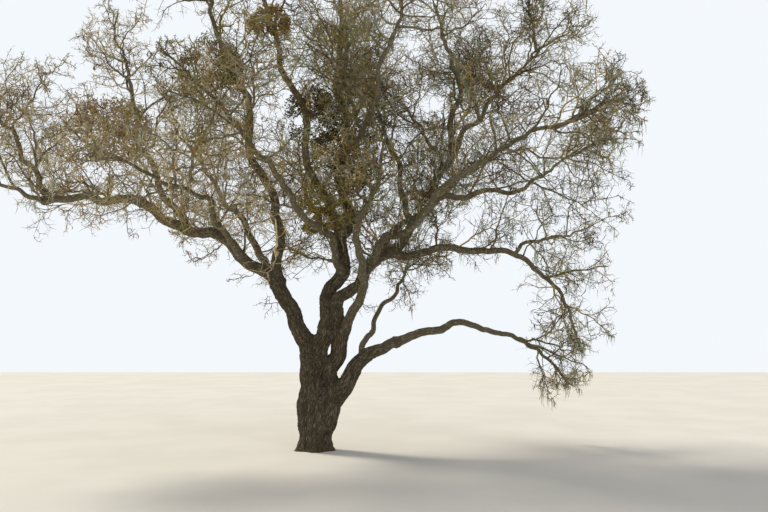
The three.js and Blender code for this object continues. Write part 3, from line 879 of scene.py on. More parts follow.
class Joined:
    """Many small things of one kind, joined into pieces of under 200,000 triangles."""

    MOST = 195_000

    def __init__(self, name: str, slot: str, materials: list[Material]) -> None:
        """Starts an empty lot.

        Args:
            name: The start of each piece's name.
            slot: A material slot's name, which is not used.
            materials: The materials that the things choose among.
        """
        self.name, self.slot, self.materials = name, slot, materials
        self.vertices: list[Array] = []
        self.triangles: list[Array] = []
        self.finishes: list[Array] = []
        self.nodes: list[str] = []
        self.count, self.placed, self.pieces = 0, 0, 0

    def add(self, vertices: Array, triangles: Array, finish: Array | None = None) -> None:
        """Adds things to the piece in the making.

        Args:
            vertices: Their vertices.
            triangles: Their triangles, as numbers into those vertices.
            finish: The number of each triangle's material, or None where all have the first.
        """
        self.vertices.append(vertices)
        self.triangles.append(triangles + self.placed)
        self.finishes.append(np.zeros(len(triangles), int) if finish is None else finish)
        self.placed += len(vertices)
        self.count += len(triangles)

    def close(self) -> None:
        """Makes the piece in the making an object that rides on the tree."""
        if not self.count:
            return
        self.pieces += 1
        name = f"{self.name}_{self.pieces}"
        vertices = np.concatenate(self.vertices)
        triangles = np.concatenate(self.triangles)
        mesh = bpy.data.meshes.new(name)
        mesh.vertices.add(len(vertices))
        mesh.vertices.foreach_set("co", vertices.astype(np.float32).ravel())
        mesh.loops.add(triangles.size)
        mesh.loops.foreach_set("vertex_index", triangles.astype(np.int32).ravel())
        mesh.polygons.add(len(triangles))
        mesh.polygons.foreach_set("loop_start", np.arange(0, triangles.size, 3, dtype=np.int32))
        mesh.polygons.foreach_set("material_index", np.concatenate(self.finishes).astype(np.int32))
        mesh.polygons.foreach_set("use_smooth", np.ones(len(triangles), bool))
        mesh.update(calc_edges=True)
        for material in self.materials:
            mesh.materials.append(material)
        piece = in_scene(name, mesh)
        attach(piece, "root")
        if self.nodes:
            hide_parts(*self.nodes)
        stands_for = ", ".join(self.nodes) or "nothing"
        log.info("%s: %d triangles, stands for %s", name, len(triangles), stands_for)
        self.vertices, self.triangles, self.finishes, self.nodes = [], [], [], []
        self.count = self.placed = 0


def value_noise(points: Array, seed: int) -> Array:
    """Smooth random values in space, from 0 to 1, with a feature size of 1.

    Args:
        points: Places, one a row.
        seed: Which noise this is.

    Returns:
        One value for each place.
    """
    base = np.floor(points)
    part = points - base
    part = part * part * (3 - 2 * part)
    cell = base.astype(np.int64)
    total = np.zeros(len(points))
    for corner in range(8):
        step = np.array([corner & 1, corner >> 1 & 1, corner >> 2 & 1])
        weight = np.where(step, part, 1 - part).prod(axis=1)
        total += weight * scramble(cell_ids(cell + step, seed)) / 2.0**32
    return total


def cell_ids(cells: Array, seed: int) -> Array:
    """Gives the whole-number cells of a lattice one scrambled number each."""
    ids = np.full(len(cells), seed, np.uint32)
    with np.errstate(over="ignore"):
        for axis in range(3):
            ids = scramble(ids + cells[:, axis].astype(np.uint32) * np.uint32(CHILD_STRIDE))
    return ids


def plates(points: Array, seed: int) -> Array:
    """Tells how deep each place lies in the cracks between irregular plates of size 1.

    Args:
        points: Places, one a row.
        seed: Which pattern this is.

    Returns:
        0 in the middle of a crack, and more towards the middle of a plate.
    """
    cell = np.floor(points).astype(np.int64)
    first = np.full(len(points), np.inf)
    second = first.copy()
    for corner in range(27):
        step = np.array([corner % 3, corner // 3 % 3, corner // 9]) - 1
        ids = cell_ids(cell + step, seed)
        middle = cell + step + chances(ids, 1, 0, 1)
        away = np.linalg.norm(points - middle, axis=1)
        second = np.minimum(second, np.maximum(first, away))
        first = np.minimum(first, away)
    return second - first


LEAST_FAR = 1e-9
MERGE_WITHIN = 1e-5


@dataclass
class Measured:
    """How points lie to a round body: the distance from its skin, and where on it they are."""

    distance: Array
    outward: Array
    grain: Array
    girth: Array


class RoundLine:
    """A bough's line with its radii, carried on into the stem of its mass."""

    END_SQUASH = 1.7
    PAST_END = 1e-4
    RING_STEP = 0.07
    LEAST_RINGS = 4
    SIDES = 14

    def __init__(self, limb: Limb, line: Array, radii: Array, origin: Array, turn: Array) -> None:
        """Keeps the line, and works out its frames.

        Args:
            limb: The limb that it is.
            line: Its points.
            radii: Its radius at each of them.
            origin: The grain at its foot, so that the bark runs on from the body that it leaves.
            turn: The way that its first frame turns, which that body gives too.
        """
        self.name, self.region, self.nodes = limb.name, limb.region, [limb.name]
        self.line, self.radii, self.origin = line, radii, origin
        self.along, self.u, self.v = (part[0] for part in frames_along(line[None], turn))
        self.run = np.concatenate([[0], np.cumsum(np.linalg.norm(np.diff(line, axis=0), axis=1))])
        self.low = (line - radii[:, None]).min(axis=0)
        self.high = (line + radii[:, None]).max(axis=0)

    def grain_at(self, share: float) -> tuple[Array, Array]:
        """Gives the grain and the frame's turn where a child leaves."""
        i = round(share * LIMB_MEASURE_STEPS)
        return self.origin + [0, 0, self.run[i]], self.u[i]

    def measure(self, points: Array) -> Measured:
        """Measures points against the line.

        Args:
            points: Points, one a row.

        Returns:
            How they lie to the line.
        """
        best = np.full(len(points), np.inf)
        stretch = np.zeros(len(points), int)
        part = np.zeros(len(points))
        for i in range(len(self.line) - 1):
            start, span = self.line[i], self.line[i + 1] - self.line[i]
            t = np.clip((points - start) @ span / (span @ span), 0, 1)
            away = points - start - t[:, None] * span
            far = (away * away).sum(axis=1)
            nearer = far < best
            best[nearer], stretch[nearer], part[nearer] = far[nearer], i, t[nearer]
        place = stretch + part
        spread = (1 - part)[:, None]
        middle, along, u, v = (
            values[stretch] * spread + values[stretch + 1] * (1 - spread)
            for values in (self.line, self.along, self.u, self.v)
        )
        along = unit(along)
        away = points - middle
        past = (away * along).sum(axis=1)
        squash = np.where(np.abs(past) > self.PAST_END, self.END_SQUASH - 1, 0)
        away = away + along * (past * squash)[:, None]
        far = np.linalg.norm(away, axis=1)
        girth = np.interp(place, np.arange(len(self.radii)), self.radii)
        run = np.interp(place, np.arange(len(self.run)), self.run) + past
        grain = np.stack([(away * u).sum(axis=1), (away * v).sum(axis=1), run], axis=1) + self.origin
        return Measured(far - girth, away / np.maximum(far, LEAST_FAR)[:, None], grain, girth)

    def rough_mesh(self, into: BMesh) -> None:
        """Adds a plain tube round the line, as a start for the skin."""
        count = max(self.LEAST_RINGS, round(self.run[-1] / self.RING_STEP))
        rings = np.unique(np.linspace(0, len(self.line) - 1, count).round().astype(int))
        add_tube(into, [self.ring_matrix(ring) for ring in rings], self.SIDES)

    def ring_matrix(self, i: int) -> Matrix:
        """Gives the matrix that puts a unit circle round point number i."""
        matrix = Matrix.Identity(4)
        wide, deep = self.u[i] * self.radii[i], self.v[i] * self.radii[i]
        for column, values in enumerate((wide, deep, self.along[i], self.line[i])):
            matrix.col[column][:3] = values.tolist()
        return matrix


def faces_of(made: dict) -> list[bmesh.types.BMFace]:
    """Picks the faces out of what a mesh operator has made."""
    return [part for part in made["geom"] if isinstance(part, bmesh.types.BMFace)]


def add_tube(into: BMesh, rings: list[Matrix], sides: int) -> None:
    """Adds a plain closed tube, extruded ring by ring.

    Args:
        into: What it is added to.
        rings: The matrices that put a unit circle on each ring.
        sides: How many sides the tube has.
    """
    tube = bmesh.new()
    bmesh.ops.create_circle(tube, cap_ends=True, segments=sides, radius=1, matrix=rings[0])
    foot = tube.faces[:]
    end = faces_of(bmesh.ops.duplicate(tube, geom=foot))
    bmesh.ops.reverse_faces(tube, faces=foot)
    for before, after in zip(rings, rings[1:]):
        grown = faces_of(bmesh.ops.extrude_face_region(tube, geom=end))
        bmesh.ops.delete(tube, geom=end, context="FACES_ONLY")
        end = grown
        bmesh.ops.transform(tube, matrix=after @ before.inverted(), verts=end[0].verts[:])
    bmesh.ops.remove_doubles(tube, verts=tube.verts[:], dist=MERGE_WITHIN)
    bmesh.ops.recalc_face_normals(tube, faces=tube.faces[:])
    mesh = bpy.data.meshes.new("passing")
    tube.to_mesh(mesh)
    tube.free()
    into.from_mesh(mesh)
    bpy.data.meshes.remove(mesh)


@dataclass
class Bole:
    """The bole: its rings from the ground up, with lobes at the foot where the roots leave."""

    heights: tuple = (-0.1, 0, 0.06, 0.18, 0.38, 0.62, 0.83, 0.94)
    middles: tuple = (0, 0, 0, 0, 0.015, 0.05, 0.082, 0.092)
    half_widths: tuple = (0.36, 0.345, 0.305, 0.276, 0.28, 0.325, 0.345, 0.3)
    half_depths: tuple = (0.345, 0.33, 0.292, 0.262, 0.255, 0.262, 0.24, 0.19)
    lobes: int = 5
    lobe_depth: float = 0.11
    lobe_turn: float = 0.6
    flare_top: float = 0.38
    half_box: float = 0.5
    sides: int = 32
    name: str = "trunk"
    region: Region = Region.BOLE
    nodes: tuple = ("trunk",)
    origin: tuple = (0, 0, 0)

    @property
    def low(self) -> Array:
        """The lowest corner of its box."""
        return np.array([-self.half_box, -self.half_box, self.heights[0]])

    @property
    def high(self) -> Array:
        """The highest corner of its box."""
        return np.array([self.half_box, self.half_box, self.heights[-1]])

    def grain_at(self, place: tuple) -> tuple[Array, Array]:
        """Gives the grain and the frame's turn where a stem leaves."""
        middle = np.interp(place[2], self.heights, self.middles)
        return np.array([place[0] - middle, place[1], place[2]]), np.array([1.0, 0, 0])

    def measure(self, points: Array) -> Measured:
        """Measures points against the bole.

        Args:
            points: Points, one a row.

        Returns:
            How they lie to the bole.
        """
        z = np.clip(points[:, 2], self.heights[0], self.heights[-1])
        middle = np.interp(z, self.heights, self.middles)
        wide = np.interp(z, self.heights, self.half_widths)
        deep = np.interp(z, self.heights, self.half_depths)
        away = points - np.stack([middle, np.zeros(len(z)), z], axis=1)
        angle = np.arctan2(-away[:, 0], -away[:, 1])
        low = np.maximum(0, 1 - np.maximum(z, 0) / self.flare_top)
        lobes = 1 + self.lobe_depth * low * np.cos(self.lobes * angle + self.lobe_turn)
        reach = lobes / np.hypot(np.cos(angle) / deep, np.sin(angle) / wide)
        far = np.linalg.norm(away, axis=1)
        grain = np.stack([away[:, 0], away[:, 1], points[:, 2]], axis=1)
        return Measured(far - reach, away / np.maximum(far, LEAST_FAR)[:, None], grain, reach)

    def rough_mesh(self, into: BMesh) -> None:
        """Adds a plain oval post, as a start for the skin."""
        add_tube(into, [self.ring_matrix(i) for i in range(len(self.heights))], self.sides)

    def ring_matrix(self, i: int) -> Matrix:
        """Gives the matrix that puts a unit circle on ring number i."""
        place = Matrix.Translation((self.middles[i], 0, self.heights[i]))
        return place @ Matrix.Diagonal((self.half_widths[i], self.half_depths[i], 1, 1))


def places(mesh: bpy.types.Mesh) -> Array:
    """Gives a mesh's vertices as rows of x, y and z."""
    flat = np.empty(len(mesh.vertices) * 3, np.float32)
    mesh.vertices.foreach_get("co", flat)
    return flat.reshape(-1, 3).astype(float)


@dataclass
class BarkSkin:
    """The skin of trunk and boughs: one surface that flows through the crotches, with relief.

    Bodies flow together over a share of their girth, at most `most_blend`. The relief has long
    plates with cracks between them, lumps, and grit on the plates. `waves` are per metre.
    """

    voxel: float = 0.0165
    finer_below: float = 2.2
    finer_girth: float = 0.1
    blend: tuple = (0.18, 0.26)
    blend_girths: tuple = (0.1, 0.17)
    most_blend: float = 0.055
    reach_blends: float = 3
    flow_blends: float = 1.2
    most_power: float = 50
    far_girth: float = 0.05
    seam: float = 0.012
    seam_match: float = 1.2
    crack_cell: float = 0.036
    crack_length: float = 7.0
    crack_width: float = 0.42
    crack_depth: float = 0.014
    crack_share: float = 0.8
    warp: float = 1.6
    warp_waves: float = 9
    smooth_girth: float = 0.045
    rough_over: float = 0.1
    least_depth: float = 0.12
    lump: float = 0.07
    lump_waves: tuple = (5, 5, 3.2)
    small_lump_waves: tuple = (13, 13, 8)
    grit: float = 0.3
    grit_waves: float = 46
    stem_share: float = 0.6
    split_at: float = 0.22
    split_girths: float = 1.3
    bodies: list = field(default_factory=list)

    def gather(self, boughs: dict[str, Bough], crown: Crown) -> None:
        """Takes in the bole, and each limb's line with the first part of its mass's stem.

        Args:
            boughs: The limbs.
            crown: The crown, which grows the stems.
        """
        bodies = {None: Bole()}
        for name, bough in boughs.items():
            line, radii = crown.line_of(name, self.stem_share)
            origin, turn = bodies[bough.limb.parent].grain_at(bough.limb.start)
            bodies[name] = RoundLine(bough.limb, gnarled(line), radii, origin, turn)
        self.bodies = list(bodies.values())

    def measure(self, points: Array) -> tuple[Array, ...]:
        """Measures points against all the bodies flowed together.

        Args:
            points: Places, one a row.

        Returns:
            The distance from the skin, the way out, the nearest body's number, the grain and
            girth on it, and how clear that is of bodies with another grain, from 0 at a seam to 1.
        """
        nearest, second = np.ones((2, len(points)))
        other = np.zeros((len(points), 3))
        owner = np.zeros(len(points), int)
        grain = np.zeros((len(points), 3))
        girth = np.full(len(points), self.far_girth)
        hits = []
        for number, body in enumerate(self.bodies):
            reach = self.reach_blends * self.most_blend
            near = ((points > body.low - reach) & (points < body.high + reach)).all(axis=1).nonzero()[0]
            found = body.measure(points[near])
            better = found.distance < nearest[near]
            chosen, next_best = near[better], ~better & (found.distance < second[near])
            second[chosen], other[chosen] = nearest[chosen], grain[chosen]
            below = near[next_best]
            second[below], other[below] = found.distance[next_best], found.grain[next_best]
            nearest[chosen], owner[chosen] = found.distance[better], number
            grain[chosen], girth[chosen] = found.grain[better], found.girth[better]
            hits.append((near, found))
        soft = np.interp(girth, self.blend_girths, self.blend) * girth
        soft = np.minimum(soft, self.most_blend)
        total = np.full(len(points), TINY)
        outward = np.zeros_like(points)
        for near, found in hits:
            weight = np.exp(-np.minimum((found.distance - nearest[near]) / soft[near], self.most_power))
            total[near] += weight
            outward[near] += found.outward * weight[:, None]
        apart = np.linalg.norm(grain - other, axis=1)
        off_seam, alike = (second - nearest) / self.seam, self.seam_match - apart / self.crack_cell
        clear = np.clip(np.maximum(off_seam, alike), 0, 1)
        distance = nearest - soft * np.log(total)
        return distance, unit(outward), owner, grain, girth, clear * clear * (3 - 2 * clear)

    def relief(self, grain: Array, girth: Array) -> Array:
        """Works out how far the bark stands out: plates with cracks between them, and lumps.

        Args:
            grain: Places across and along the bodies.
            girth: The bodies' radii there.

        Returns:
            The height of the bark.
        """
        across = grain / self.crack_cell / [1, 1, self.crack_length]
        warp = [value_noise(grain * self.warp_waves, seed) for seed in (1, 2, 3)]
        warp = np.stack(warp, axis=1) - 0.5
        crack = np.clip(plates(across + warp * self.warp, 4) / self.crack_width, 0, 1)
        stout = np.clip((girth - self.smooth_girth) / self.rough_over, self.least_depth, 1)
        depth = self.crack_depth * stout
        lumps = value_noise(grain * self.lump_waves, 5) - 0.75
        lumps += 0.5 * value_noise(grain * self.small_lump_waves, 6)
        grit = value_noise(grain * self.grit_waves, 7) - 0.5
        return depth * (crack - self.crack_share) + self.lump * girth * lumps + self.grit * depth * grit

    def rough(self) -> bpy.types.Mesh:
        """Joins the plain tubes by a voxel remesh.

        Returns:
            The skin's first mesh.
        """
        made = bmesh.new()
        for body in self.bodies:
            body.rough_mesh(made)
        mesh = bpy.data.meshes.new("bark_rough")
        made.to_mesh(mesh)
        made.free()
        rough = in_scene("bark_rough", mesh)
        remesh = rough.modifiers.new("skin", "REMESH")
        remesh.mode = "VOXEL"
        remesh.voxel_size = self.voxel * 1
        shaped = rough.evaluated_get(bpy.context.evaluated_depsgraph_get())
        skin = bpy.data.meshes.new_from_object(shaped)
        bpy.data.objects.remove(rough)
        return skin

    def flow(self, skin: bpy.types.Mesh, steps: int) -> None:
        """Moves the skin's vertices onto the bodies flowed together.

        Args:
            skin: The skin.
            steps: How many times they are moved.
        """
        limit = self.flow_blends * self.most_blend
        points = places(skin)
        for _ in range(steps):
            distance, outward, *_ = self.measure(points)
            points -= outward * np.clip(distance, -limit, limit)[:, None]
        skin.vertices.foreach_set("co", points.astype(np.float32).ravel())

    def refine(self, skin: bpy.types.Mesh) -> None:
        """Halves the faces of the bole and its stems, whose bark shows its plates.

        Args:
            skin: The skin.
        """
        points = places(skin)
        stout = (points[:, 2] < self.finer_below) & (self.measure(points)[4] > self.finer_girth)
        made = bmesh.new()
        made.from_mesh(skin)
        faces = [face for face in made.faces if all(stout[v.index] for v in face.verts)]
        edges = {edge for face in faces for edge in face.edges}
        bmesh.ops.subdivide_edges(made, edges=list(edges), cuts=1, use_grid_fill=True)
        made.to_mesh(skin)
        made.free()

    def build(self, material: Material) -> None:
        """Makes the skin, and the piece of each region.

        Args:
            material: The bark.
        """
        skin = self.rough()
        self.flow(skin, 3)
        self.refine(skin)
        self.flow(skin, 1)
        points = places(skin)
        _, outward, owner, grain, girth, clear = self.measure(points)
        points += outward * (self.relief(grain, girth) * clear)[:, None]
        skin.vertices.foreach_set("co", points.astype(np.float32).ravel())
        along = skin.attributes.new("grain", "FLOAT_VECTOR", "POINT")
        along.data.foreach_set("vector", grain.astype(np.float32).ravel())
        # The clear attribute fades the relief at the seams, and the bark's shader paints shade in the
        # crotches by it.
        for name, values in (("girth", girth), ("clear", clear)):
            skin.attributes.new(name, "FLOAT", "POINT").data.foreach_set("value", values.astype(np.float32))
        log.info("bark: %d vertices, %d faces", len(skin.vertices), len(skin.polygons))
        region_of = self.regions_of(owner, grain, girth)
        for i, region in enumerate(Region):
            self.piece(skin, region_of == i, region, material)
        bpy.data.meshes.remove(skin)

    def regions_of(self, owner: Array, grain: Array, girth: Array) -> Array:
        """Deals the skin out to the regions. The foot of a limb goes with the body that it leaves.

        Args:
            owner: The number of each vertex's body.
            grain: Its place on that body.
            girth: The body's radius there.

        Returns:
            The number of each vertex's region.
        """
        regions, names = list(Region), [body.name for body in self.bodies]
        number = np.array([regions.index(body.region) for body in self.bodies])
        parents = np.array([0] + [names.index(limb.parent or "trunk") for limb in LIMBS])
        foot = np.array([body.origin[2] for body in self.bodies])
        young = grain[:, 2] - foot[owner] < self.split_at + self.split_girths * girth
        return np.where(young & (owner > 0), number[parents[owner]], number[owner])

    def piece(self, skin: bpy.types.Mesh, own: Array, region: Region, material: Material) -> None:
        """Makes the piece of one region, closed where it meets the others.

        Args:
            skin: The whole skin.
            own: True for each vertex that belongs to the region.
            region: The region.
            material: The bark.
        """
        made = bmesh.new()
        made.from_mesh(skin)
        made.verts.ensure_lookup_table()
        others = [face for face in made.faces if not own[face.verts[0].index]]
        bmesh.ops.delete(made, geom=others, context="FACES")
        if region is Region.BOLE:
            everything = made.verts[:] + made.edges[:] + made.faces[:]
            ground = {"plane_co": (0, 0, 0), "plane_no": (0, 0, -1)}
            bmesh.ops.bisect_plane(made, geom=everything, dist=MERGE_WITHIN, clear_outer=True, **ground)
        for face in made.faces:
            face.smooth = True
        rims = [edge for edge in made.edges if edge.is_boundary]
        for edge in rims:
            edge.smooth = False
        bmesh.ops.holes_fill(made, edges=rims, sides=0)
        for face in made.faces:
            if len(face.verts) > 4:
                face.smooth = False
        bmesh.ops.triangulate(made, faces=made.faces[:])
        name = f"bark_{region.value}"
        mesh = bpy.data.meshes.new(name)
        made.to_mesh(mesh)
        made.free()
        mesh.materials.append(material)
        piece = in_scene(name, mesh)
        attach(piece, "root")
        nodes = [node for body in self.bodies if body.region is region for node in body.nodes]
        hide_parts(*nodes)
        log.info("%s: %d triangles, stands for %s", name, len(mesh.polygons), ", ".join(nodes))


@dataclass(frozen=True)
class ShootKind:
    """A kind of shoot: its order, its share of all shoots, how long it is, and how thick for that."""

    order: int
    share: float
    length: tuple
    girth: float


SHOOT_KINDS = (
    ShootKind(0, 0.07, (1.3, 2.2), 0.0165),
    ShootKind(1, 0.43, (0.7, 1.6), 0.0155),
    ShootKind(2, 0.3, (0.35, 0.8), 0.014),
    ShootKind(3, 0.2, (0.14, 0.4), 0.016),
)


@dataclass
class Shoots:
    """Twigs that stand on the limbs themselves, most of them with branches of their own."""

    IDS_PER_LIMB = 1000

    spacing: float
    set_back: float = 0.2
    jitter: float = 0.8
    lowest: float = 2.5
    long_higher: float = 0.6
    thickest: float = 0.15
    turn_chance: float = 0.3
    lean: tuple = (42, 88)
    lift: float = 0.5
    sunk: float = 0.75
    lowest_side: float = -0.25
    stem_share: float = 0.8

    def on(self, crown: Crown, bough: Bough, kind: ShootKind, above: float) -> Twigs | None:
        """Lays out one kind of shoot along a limb and the stem that carries it on.

        Args:
            crown: The crown, which grows the stem.
            bough: The limb.
            kind: The kind.
            above: The share of the shoots that belongs to the kinds before it.

        Returns:
            The shoots, or None where the limb has none.
        """
        line, radii = crown.line_of(bough.limb.name, self.stem_share)
        run = np.concatenate([[0], np.cumsum(np.linalg.norm(np.diff(line, axis=0), axis=1))])
        count = int(run[-1] / self.spacing)
        k = np.arange(count)
        ids = scramble(k + self.IDS_PER_LIMB * bough.number)
        way = (k + self.set_back + self.jitter * chance(ids, TwigDraw.PLACE)) * self.spacing
        place = np.interp(way, run, np.arange(len(line)))
        share = place / (len(line) - 1)
        lines = np.repeat(line[None], count, axis=0)
        start = points_at(lines, share)
        radius = np.interp(place, np.arange(len(line)), radii)
        lot = chance(ids, TwigDraw.LOT)
        long = kind.order <= LONG_SHOOT_ORDER
        chosen = (start[:, 2] > self.lowest + self.long_higher * long) & (radius < self.thickest)
        chosen &= (lot >= above) & (lot < above + kind.share)
        if not chosen.any():
            return None
        along = directions_at(lines, share)
        u, v = square_to(along)
        turn = GOLDEN_ANGLE * k + 360 * chance(ids, TwigDraw.TURN) * self.turn_chance
        turn = np.radians(turn)[:, None]
        lean = np.radians(chance(ids, TwigDraw.LEAN, *self.lean))[:, None]
        across = u * np.cos(turn) + v * np.sin(turn)
        if long:
            across = np.where(across[:, 2:] < self.lowest_side, -across, across)
        out = along * np.cos(lean) + across * np.sin(lean)
        start = start + across * (radius * self.sunk)[:, None]
        length = chance(ids, TwigDraw.LENGTH, *kind.length)
        shoots = Twigs(kind.order, ids, start, out, length, length * kind.girth, ids, self.lift)
        return shoots.rows(chosen)


# How far apart the shoots of each region stand, and how often each tint is dealt to them.
SHOOT_ROWS = {
    Region.LEFT: (0.18, LEFT_TINTS),
    Region.CENTRE: (0.2, CENTRE_TINTS),
    Region.RIGHT: (0.16, RIGHT_TINTS),
    Region.STEMS: (0.15, CENTRE_TINTS),
}


class CrownDrawer:
    """Draws the crown's twigs, region by region, into joined pieces."""

    def __init__(self, crown: Crown, skin: BarkSkin, materials: list[Material]) -> None:
        """Keeps what the pieces are made from.

        Args:
            crown: The crown.
            skin: The bark skin, which covers the first part of each stem.
            materials: One for each tint.
        """
        self.crown, self.skin, self.materials = crown, skin, materials
        self.fine: list[Twigs] = []

    def finish_of(self, twigs: Twigs, tints: dict) -> Array:
        """Deals out a tint to each twig, by its spray, and the boughs' tint to most stout ones.

        Args:
            twigs: The twigs.
            tints: How often each tint is dealt.

        Returns:
            The number of each twig's material.
        """
        ends = np.cumsum(list(tints.values())) / sum(tints.values())
        numbers = np.array([tint.value for tint in tints])
        dealt = numbers[np.searchsorted(ends, chance(twigs.spray, TwigDraw.LOT), side="right")]
        as_bough = chance(twigs.ids, TwigDraw.BOUGH_TINT) < BOUGH_TINT_SHARES[twigs.order]
        return np.where(as_bough, Tint.BOUGH.value, dealt)

    def drawn(self, twigs: Twigs, tints: dict) -> tuple[Array, Array, Array]:
        """Makes the tubes of twigs, and the material of each triangle.

        Args:
            twigs: The twigs.
            tints: How often each tint is dealt.

        Returns:
            The vertices, the triangles, and each triangle's material.
        """
        twigs.line = gnarled(twigs.line)
        if twigs.order >= HANGING_ORDER:
            self.fine.append(twigs)
        share = np.linspace(0, 1, twigs.line.shape[1])[None]
        radii = np.maximum(twigs.radius(share), LEAST_DRAWN * ORDERS[twigs.order].least_radius)
        vertices, triangles, owner = tubes(twigs.line, radii, ORDERS[twigs.order].sides)
        return vertices, triangles, self.finish_of(twigs, tints)[owner]

    def stem_end(self, number: int, tints: dict) -> tuple[Array, Array, Array]:
        """Makes the part of a mass's stem that stands out of the bark skin.

        Args:
            number: The number of the mass.
            tints: How often each tint is dealt.

        Returns:
            The vertices, the triangles, and each triangle's material.
        """
        stem = self.crown.stem(number)
        last = stem.line.shape[1] - 1
        first = round(self.skin.stem_share * last) - 1
        radii = stem.radius(np.linspace(0, 1, last + 1)[None])[:, first:]
        vertices, triangles, owner = tubes(gnarled(stem.line[:, first:]), radii, ORDERS[0].sides)
        return vertices, triangles, self.finish_of(stem, tints)[owner]

    def draw(self, region: Region, spacing: float, tints: dict) -> None:
        """Draws the twigs of a region's masses, and the shoots on its limbs.

        Args:
            region: The region.
            spacing: How far apart the shoots stand.
            tints: How often each tint is dealt to them.
        """
        lot = Joined(f"twigs_{region.value}", "twigs", self.materials)
        for number, mass in enumerate(MASSES):
            bough = self.crown.boughs[mass.limb]
            if bough.limb.region is not region:
                continue
            stem = self.crown.stem(number)
            parts = [self.stem_end(number, mass.tints)]
            parts += [self.drawn(twigs, mass.tints) for twigs in self.crown.carried_on(stem, number)]
            self.put(lot, parts, [mass.limb + "_twigs"])
        for bough in self.crown.boughs.values():
            if bough.limb.region is not region:
                continue
            above = 0.0
            for kind in SHOOT_KINDS:
                sprouts = Shoots(spacing).on(self.crown, bough, kind, above)
                above += kind.share
                shoots = self.crown.around.grown(sprouts, None) if sprouts else None
                if shoots is None:
                    continue
                orders = [shoots] + self.crown.carried_on(shoots, None)
                self.put(lot, [self.drawn(twigs, tints) for twigs in orders], [])
        lot.close()

    def put(self, lot: Joined, parts: list, nodes: list[str]) -> None:
        """Adds one mass's or limb's twigs to a lot, in a new piece where the last one is full.

        Args:
            lot: The lot.
            parts: What `drawn` gives for each order.
            nodes: The nodes that the twigs stand for.
        """
        if lot.count + sum(len(triangles) for _, triangles, _ in parts) > lot.MOST:
            lot.close()
        for vertices, triangles, finish in parts:
            lot.add(vertices, triangles, finish)
        lot.nodes.extend(nodes)


@dataclass
class LeafShape:
    """A leaf's outline: half widths at places along its midrib, as shares of its length."""

    places: tuple
    half_widths: tuple
    cup: float

    def leaves(
        self, foot: Array, along: Array, across: Array, length: Array, curl: Array
    ) -> tuple[Array, Array, Array]:
        """Makes leaves.

        Args:
            foot: Where each one starts.
            along: Which way each one points.
            across: A direction square to it, in the leaf's plane.
            length: Their lengths.
            curl: How far each one's tip bends out of its plane, as a share of its length.

        Returns:
            The vertices, the triangles, and the number of the leaf of each triangle.
        """
        up = np.cross(across, along)
        size = length[:, None]
        rows = [foot]
        for place, half in zip(self.places, self.half_widths):
            bend = (curl * place * place)[:, None] * size * up
            middle = foot + along * place * size + bend
            edge = across * half * size
            rise = up * self.cup * half * size
            rows += [middle + edge + rise, middle - edge + rise]
        rows.append(foot + along * size + curl[:, None] * size * up)
        vertices = np.stack(rows, axis=1)
        per_leaf = vertices.shape[1]
        faces = [(0, 2, 1)]
        for i in range(len(self.places) - 1):
            left, right = 1 + 2 * i, 2 + 2 * i
            faces += [(left, right, right + 2), (left, right + 2, left + 2)]
        faces.append((per_leaf - 3, per_leaf - 2, per_leaf - 1))
        return vertices.reshape(-1, 3), *copies(np.array(faces), per_leaf, len(foot))


MISTLETOE_LEAF = LeafShape((0.4, 0.8), (0.2, 0.16), 0.25)
OAK_LEAF = LeafShape((0.1, 0.24, 0.36, 0.5, 0.62, 0.78, 0.88), (0.05, 0.2, 0.12, 0.3, 0.17, 0.24, 0.12), 0.35)


class SprayDraw(IntEnum):
    """What the draws of a mistletoe stem are for."""

    WAY = 1
    LEAN = 2
    LENGTH = 6
    TURN = 7
    THIRD = 8
    LEAF_TURN = 9
    LEAF_WAY = 12
    LEAF_LENGTH = 18
    LEAF_TILT = 20
    LEAF_CURL = 24
    LEAF_GREEN = 28
    BOW = 30
    HEART = 60
    ROOT_BOW = 63


